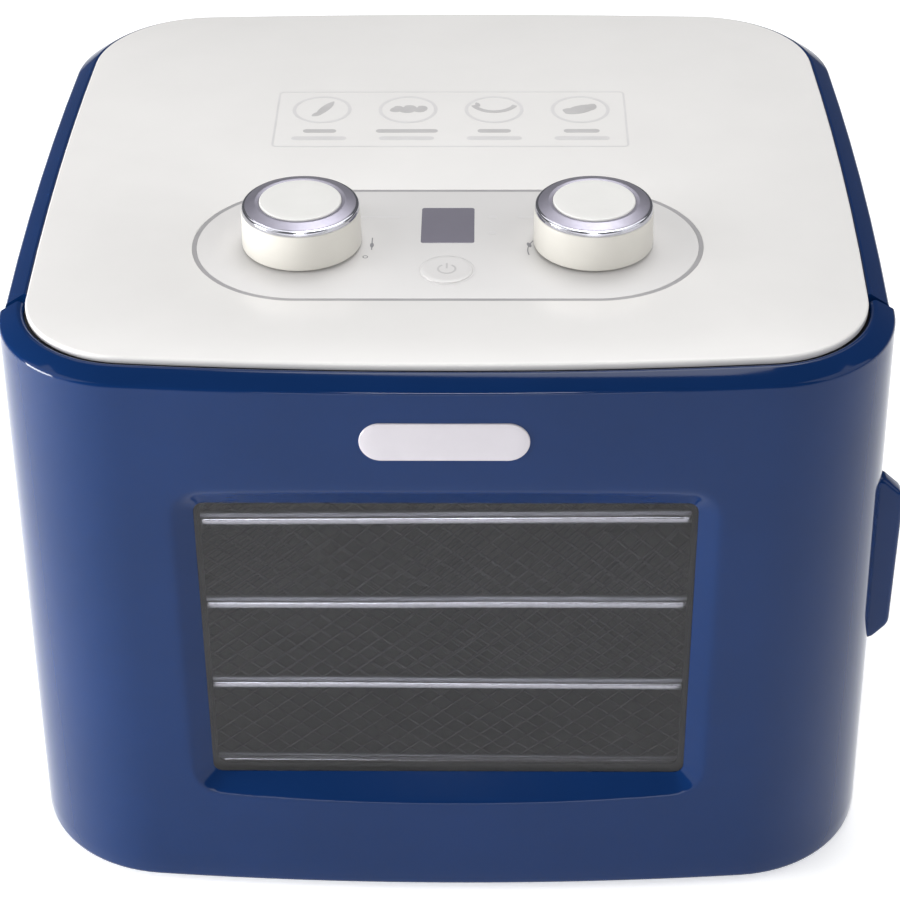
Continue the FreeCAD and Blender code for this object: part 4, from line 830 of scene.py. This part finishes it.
class Art:
    """Thin raised print on a level surface."""
    THICK = 0.05

    def __init__(self, level):
        self.level = level
        self.build = Builder()

    def patch(self, outline):
        self.level += 0.0015
        low, high = self.level - self.THICK / 2, self.level + self.THICK
        self.build.stack([[(point[0], point[1], level) for point in outline] for level in (low, high)])

    def line(self, path, width):
        for start, end in zip(path, path[1:]):
            one, two = Vector(start), Vector(end)
            along = (two - one).normalized()
            aside = Vector((-along.y, along.x)) * width / 2
            along = along * width * 0.2
            self.patch([one - aside - along, two - aside + along, two + aside + along, one + aside - along])

    def band(self, outer, inner):
        low, high = self.level - self.THICK / 2, self.level + self.THICK
        section = [(outer, low), (outer, high), (inner, high), (inner, low)]
        self.build.skin([[(*point, level) for point in loop] for loop, level in section], ring=True)

    def ring(self, centre, radius, width, steps=64):
        outer = circle(radius + width / 2, steps, *centre)
        inner = circle(radius - width / 2, steps, *centre)
        self.band(outer, inner)

    def arc(self, centre, radius, width, start, end, steps=24):
        path = []
        for share in shares(steps, True):
            angle = math.radians(start + (end - start) * share)
            path.append((centre[0] + radius * math.cos(angle), centre[1] + radius * math.sin(angle)))
        self.line(path, width)

    def bar(self, x, y, half, height):
        self.patch(oblong(half, height / 2, height / 2, 4, x, y))

    def leaf(self, x, y, length, width, turn):
        """A pointed oval, turned by an angle in degrees."""
        spin = Matrix.Rotation(math.radians(turn), 2)
        outline = []
        for share in shares(20):
            angle = math.tau * share
            point = Vector((length / 2 * math.cos(angle), width / 2 * math.sin(angle) * abs(math.sin(angle)) ** 0.4))
            outline.append(Vector((x, y)) + spin @ point)
        self.patch(outline)

    def piece(self, name, material, body, slot):
        return self.build.piece(name, material, body, slot=slot)


def guide_box():
    """The printed drying guide: an outline, four round pictures and a pair of bars under each."""
    left, right, low, high = -74.3, 74.3, 18.0, 68.8
    centre_y = (low + high) / 2
    half_x, half_y = (right - left) / 2, (high - low) / 2
    pale = Art(PLATE_TOP)
    pale.band(oblong(half_x, half_y, 2.5, 6, 0, centre_y), oblong(half_x - 0.9, half_y - 0.9, 1.6, 6, 0, centre_y))
    ink = Art(PLATE_TOP)
    spots = [(-54.9, 51.8), (-18.3, 51.8), (18.3, 51.8), (54.9, 51.8)]
    for spot in spots:
        pale.ring(spot, 11.8, 1.5)
    for (x, y), half in zip(spots, (7.0, 13.0, 7.0, 7.5)):
        ink.bar(x, y - 19.5, half, 3.2)
        pale.bar(x, y - 26.0, 11.5, 3.4)
    x, y = spots[0]
    ink.leaf(x + 1.2, y + 1.0, 15.0, 4.0, 62)
    ink.leaf(x - 1.8, y - 4.0, 6.0, 3.0, 40)
    x, y = spots[1]
    for shift, size in ((-5.0, 4.6), (0.0, 6.2), (5.2, 4.8)):
        ink.leaf(x + shift, y, size * 1.3, size, 25)
        ink.leaf(x + shift + 1, y + 1.5, size, size * 0.8, -40)
    x, y = spots[2]
    ink.arc((x, y + 7.5), 9.5, 2.2, 205, 335, 16)
    ink.leaf(x - 7.0, y + 4.6, 4.0, 2.0, 110)
    x, y = spots[3]
    ink.leaf(x, y, 15.0, 7.0, 28)
    ink.leaf(x - 4.2, y - 1.5, 7.0, 5.0, -20)
    ink.leaf(x + 4.4, y + 2.0, 7.0, 5.0, 60)
    pale.piece("guide_lines", FAINT_INK, "cabinet", "grey_trim")
    ink.piece("guide_pictures", INK, "cabinet", "grey_trim")


def panel_marks():
    """Turn arrows by the knobs and faint label bars."""
    level = PLATE_TOP - 0.05
    dark = Art(level)
    dark.line([(-29.2, -57.0), (-29.2, -66.0)], 0.45)
    dark.leaf(-29.2, -62.6, 4.2, 1.5, 90)
    dark.ring((-31.4, -71.5), 0.9, 0.35, 20)
    dark.arc((44.0, -66.5), 13.0, 0.45, 145, 195, 12)
    dark.leaf(31.6, -62.4, 3.8, 1.6, 108)
    dark.piece("turn_marks", DARK_INK, "cabinet", "grey_trim")
    pale = Art(level)
    pale.bar(-27.0, -40.6, 8.0, 1.8)
    pale.bar(33.0, -40.6, 5.5, 1.8)
    pale.bar(17.5, -40.6, 1.8, 2.6)
    pale.bar(17.5, -53.0, 1.8, 2.6)
    pale.piece("label_marks", FAINT_INK, "cabinet", "grey_trim")


# ---------------------------------------------------------------- door fittings

def badge():
    """Plain enamel pill that follows the bowed, leaning face."""
    low, high = box("door_badge")
    half_x, half_z = (high.x - low.x) / 2, (high.z - low.z) / 2
    centre = (low + high) / 2

    def shape(inset):
        return oblong(half_x - inset, half_z - inset, half_z - inset, 16, centre.x, centre.z)

    def on_face(point, height):
        return (point.x, face_y(point.x, point.y) - height, point.y)

    rows = edge_rows(-0.4, 0.62, 0.05, 0.5, 4) + [(2.2, 0.8), (4.5, 0.9)]
    slab_piece("badge_pill", shape, rows, ENAMEL, "door", place=on_face, slot="badge_enamel",
               replaces=["door_badge"])


def handle():
    """Upright fin with rounded ends."""
    low, high = box("door_handle")
    tip, root = high.x, low.x - 3.0
    end = 7.5
    face = [(root, low.z, 0), (low.x + 3.0, low.z, 4.0), (tip, low.z + end, 7.0), (tip, high.z - end, 7.0),
            (low.x + 1.5, high.z, 3.0), (root, high.z, 0)]
    outline = rounded(face, 6)
    centre_z = (low.z + high.z) / 2
    reach = tip - low.x
    build = Builder()
    loops = []
    for inset, y in edge_rows(low.y, high.y - 0.02, 1.9, 1.2, 5):
        loop = []
        for point in outline:
            share = max(0.0, min(1.0, (point.x - low.x + 2) / (reach + 2)))
            z = centre_z + (point.y - centre_z) * (1 - inset / (high.z - low.z) * 2)
            loop.append((point.x - inset * share, y, z))
        loops.append(loop)
    build.stack(loops)
    build.piece("side_pull", BLUE, "door", sharp=50, slot="blue_gloss", replaces=["door_handle"])


def window():
    """Clear pane with polished rims, and the soft frame that holds it."""
    low, high = GLASS_LOW, GLASS_HIGH
    half_x, half_z = (high.x - low.x) / 2, WINDOW_Z + GLASS_LAP

    def leaning(point, height):
        level = WINDOW_MIDDLE + point.y
        return (point.x, glass_plane(level) + height, level)

    def pane(inset):
        return oblong(half_x - inset, half_z - inset, WINDOW_CORNER, 6)

    slab_piece("window_pane", pane, edge_rows(WINDOW_DEPTH + 0.06, WINDOW_DEPTH + 3.0, 0.3, 0.3), GLASS, "door",
               place=leaning, slot="smoked_glass", replaces=["window_glass"])
    front, back, behind = WINDOW_DEPTH + 0.1, WINDOW_DEPTH + 3.08, WINDOW_DEPTH + 4.4
    section = [(3.0, front), (0.15, front), (0.15, back), (-6.2, back + 0.02), (-6.2, behind - 0.4),
               (-5.8, behind), (3.0, behind)]
    build = Builder()
    build.skin([[leaning(point, height) for point in oblong(half_x + grow, half_z + grow, WINDOW_CORNER + grow + 6.5, 8)]
                for grow, height in section], ring=True)
    build.piece("window_seal", RUBBER, "door", slot="rubber", replaces=["window_gasket"])


# ---------------------------------------------------------------- trays

def tube_ring(build, half_x, half_y, corner, radius, centre, sides=14, steps=10):
    """A round bar bent to a closed rectangle with round corners."""
    loops = []
    for share in shares(sides):
        angle = math.tau * share
        shift = radius * math.cos(angle)
        level = centre.z + radius * math.sin(angle)
        loops.append([(*point, level) for point in
                      oblong(half_x + shift, half_y + shift, corner + shift, steps, centre.x, centre.y)])
    build.skin(loops, ring=True)


def rod_between(build, start, end, radius, sides=6):
    """A straight wire with flat ends."""
    one, two = Vector(start), Vector(end)
    axis = (two - one).normalized()
    aside = axis.orthogonal().normalized()
    other = axis.cross(aside)
    loops = []
    for point in (one, two):
        loops.append([tuple(point + (aside * math.cos(math.tau * share) + other * math.sin(math.tau * share))
                            * radius) for share in shares(sides)])
    build.stack(loops)


def tray(number):
    """Bright bar frame with a thinner wire welded along its top, and crossed diagonal wires inside it."""
    low, high = box(f"tray_frame_{number}")
    bar, wire = 2.0, 0.9
    half_x, half_y = (high.x - low.x) / 2, (high.y - low.y) / 2
    centre = Vector(((low.x + high.x) / 2, (low.y + high.y) / 2, low.z + bar))
    body = f"tray_{number}"
    build = Builder()
    tube_ring(build, half_x - bar, half_y - bar, 12.0, bar, centre, 18)
    upper = Vector((centre.x, centre.y, high.z - wire))
    build.piece(f"tray_{number}_bars", TRAY_STEEL, body, slot="tray_steel", replaces=[f"tray_frame_{number}"])
    thin = Builder()
    tube_ring(thin, half_x - bar, half_y - bar, 12.0, wire, upper, 12)
    thin.piece(f"tray_{number}_wire", WIRE_STEEL, body, slot="tray_steel", replaces=[f"tray_frame_{number}"])
    mesh = Builder()
    inner_x, inner_y = half_x - bar, half_y - bar
    pitch, radius = 6.8, 0.38
    for sign in (-1, 1):
        level = centre.z + 0.36 * sign
        count = int((inner_x + inner_y) / (pitch * math.sqrt(2)))
        for step in range(-count, count + 1):
            shift = step * pitch * math.sqrt(2)
            ends = clip_diagonal(shift, inner_x - 1.0, inner_y - 1.0)
            if not ends:
                continue
            (one_x, one_y), (two_x, two_y) = ends
            rod_between(mesh, (centre.x + sign * one_x, centre.y + one_y, level),
                        (centre.x + sign * two_x, centre.y + two_y, level), radius, 6)
    mesh.piece(f"tray_{number}_mesh", MESH_STEEL, body, slot="tray_steel", replaces=[f"tray_mesh_{number}"])


def clip_diagonal(shift, half_x, half_y):
    """Ends of the line y = x + shift inside a rectangle, or None near its corners."""
    low = max(-half_x, -half_y - shift)
    high = min(half_x, half_y - shift)
    if high - low < 12:
        return None
    return (low, low + shift), (high, high + shift)


# ---------------------------------------------------------------- carried-over CAD nodes

def soften_frame():
    """Small rounded edges on the plain fittings that stay as CAD made them."""
    widths = {"door_inner_panel": 0.5, "front_frame": 0.5, "rear_vent_cover": 0.6, "power_inlet": 0.5,
              "base_pan": 0.4, "left_tray_rails": 0.25, "right_tray_rails": 0.25, "chamber_liner": 0.2,
              "power_board_parts": 0.4, "strike_plates": 0.2, "door_magnets": 0.3, "hinge_brackets": 0.4}
    for name, width in widths.items():
        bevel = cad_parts[name].modifiers.new("soft_edges", "BEVEL")
        bevel.width = width * MM
        bevel.segments = 2
        bevel.limit_method = "ANGLE"
        bevel.angle_limit = math.radians(50)
        bevel.use_clamp_overlap = True
        bevel.harden_normals = False


# ---------------------------------------------------------------- studio

def add_light(name, place, target, size, power, colour=(1, 1, 1)):
    light = bpy.data.lights.new(name, "AREA")
    light.shape = "RECTANGLE"
    light.size, light.size_y = size
    light.energy = power
    light.color = colour
    lamp = bpy.data.objects.new(name, light)
    bpy.context.scene.collection.objects.link(lamp)
    lamp.location = place
    lamp.rotation_mode = "QUATERNION"
    lamp.rotation_quaternion = (Vector(target) - Vector(place)).to_track_quat("-Z", "Y")


def studio():
    world = bpy.data.worlds.new("studio")
    bpy.context.scene.world = world
    world.use_nodes = True
    backdrop = world.node_tree.nodes["Background"]
    backdrop.inputs["Color"].default_value = (0.95, 0.97, 1.0, 1.0)
    backdrop.inputs["Strength"].default_value = 0.16
    add_light("left_box", (-1.5, -0.5, 1.1), (0, 0, 0.1), (1.4, 1.6), 10)
    add_light("right_box", (1.5, -0.5, 1.1), (0, 0, 0.1), (1.4, 1.6), 9)
    add_light("rear_top_box", (0, 0.9, 1.7), (0, 0, 0.1), (1.8, 1.0), 8)
    add_light("front_high_box", (0, -1.7, 1.35), (0, 0, 0.15), (0.45, 0.3), 7)
    add_light("front_low_box", (0, -2.2, 0.35), (0, 0, 0.15), (0.9, 0.5), 5)
    add_light("left_graze_box", (-1.2, -0.36, 0.14), (0.1, -0.15, 0.12), (0.5, 0.5), 25)
    add_light("top_box", (0.12, 0.45, 1.6), (0, 0, 0.24), (0.7, 0.9), 9)
    floor = surface("floor", srgb(250, 250, 250), srgb(252, 252, 252), 0.8, 0.05, 20.0, 0.0)
    glow = floor.node_tree.nodes["Principled BSDF"]
    glow.inputs["Emission Color"].default_value = (1.0, 1.0, 1.0, 1.0)
    glow.inputs["Emission Strength"].default_value = 0.47
    mesh = bpy.data.meshes.new("floor")
    reach = 4.0
    mesh.from_pydata([(x, y, -0.0003) for x, y in ((-reach, -reach), (reach, -reach), (reach, reach), (-reach, reach))], [],
                     [(0, 1, 2, 3)])
    mesh.materials.append(floor)
    ground = bpy.data.objects.new("floor", mesh)
    bpy.context.scene.collection.objects.link(ground)
    view = bpy.context.scene.view_settings
    view.view_transform = "Standard"
    view.look = "None"


def camera():
    """Above and in front of the object, looking down at it."""
    yaw, pitch, roll = math.radians(-1.051), math.radians(34.998), math.radians(-0.531)
    forward = Vector((math.sin(yaw) * math.cos(pitch), math.cos(yaw) * math.cos(pitch), -math.sin(pitch)))
    level = Vector((math.cos(yaw), -math.sin(yaw), 0))
    upward = level.cross(forward)
    right = level * math.cos(roll) + upward * math.sin(roll)
    top = upward * math.cos(roll) - level * math.sin(roll)
    lens = bpy.data.cameras.new("camera")
    lens.lens = 96.6
    lens.sensor_width = 36.0
    lens.clip_start = 0.05
    eye = bpy.data.objects.new("camera", lens)
    bpy.context.scene.collection.objects.link(eye)
    turn = Matrix((right, top, -forward)).transposed()
    eye.matrix_world = Matrix.Translation(Vector((15.14, -872.84, 718.58)) * MM) @ turn.to_4x4()
    bpy.context.scene.camera = eye


camera()
studio()
paint_frame()
soften_frame()
door_shell()
cabinet_shell()
top_plate()
control_panel()
display()
knob("left")
knob("right")
power_button()
guide_box()
panel_marks()
badge()
handle()
window()
for tray_number in (1, 2, 3, 4):
    tray(tray_number)
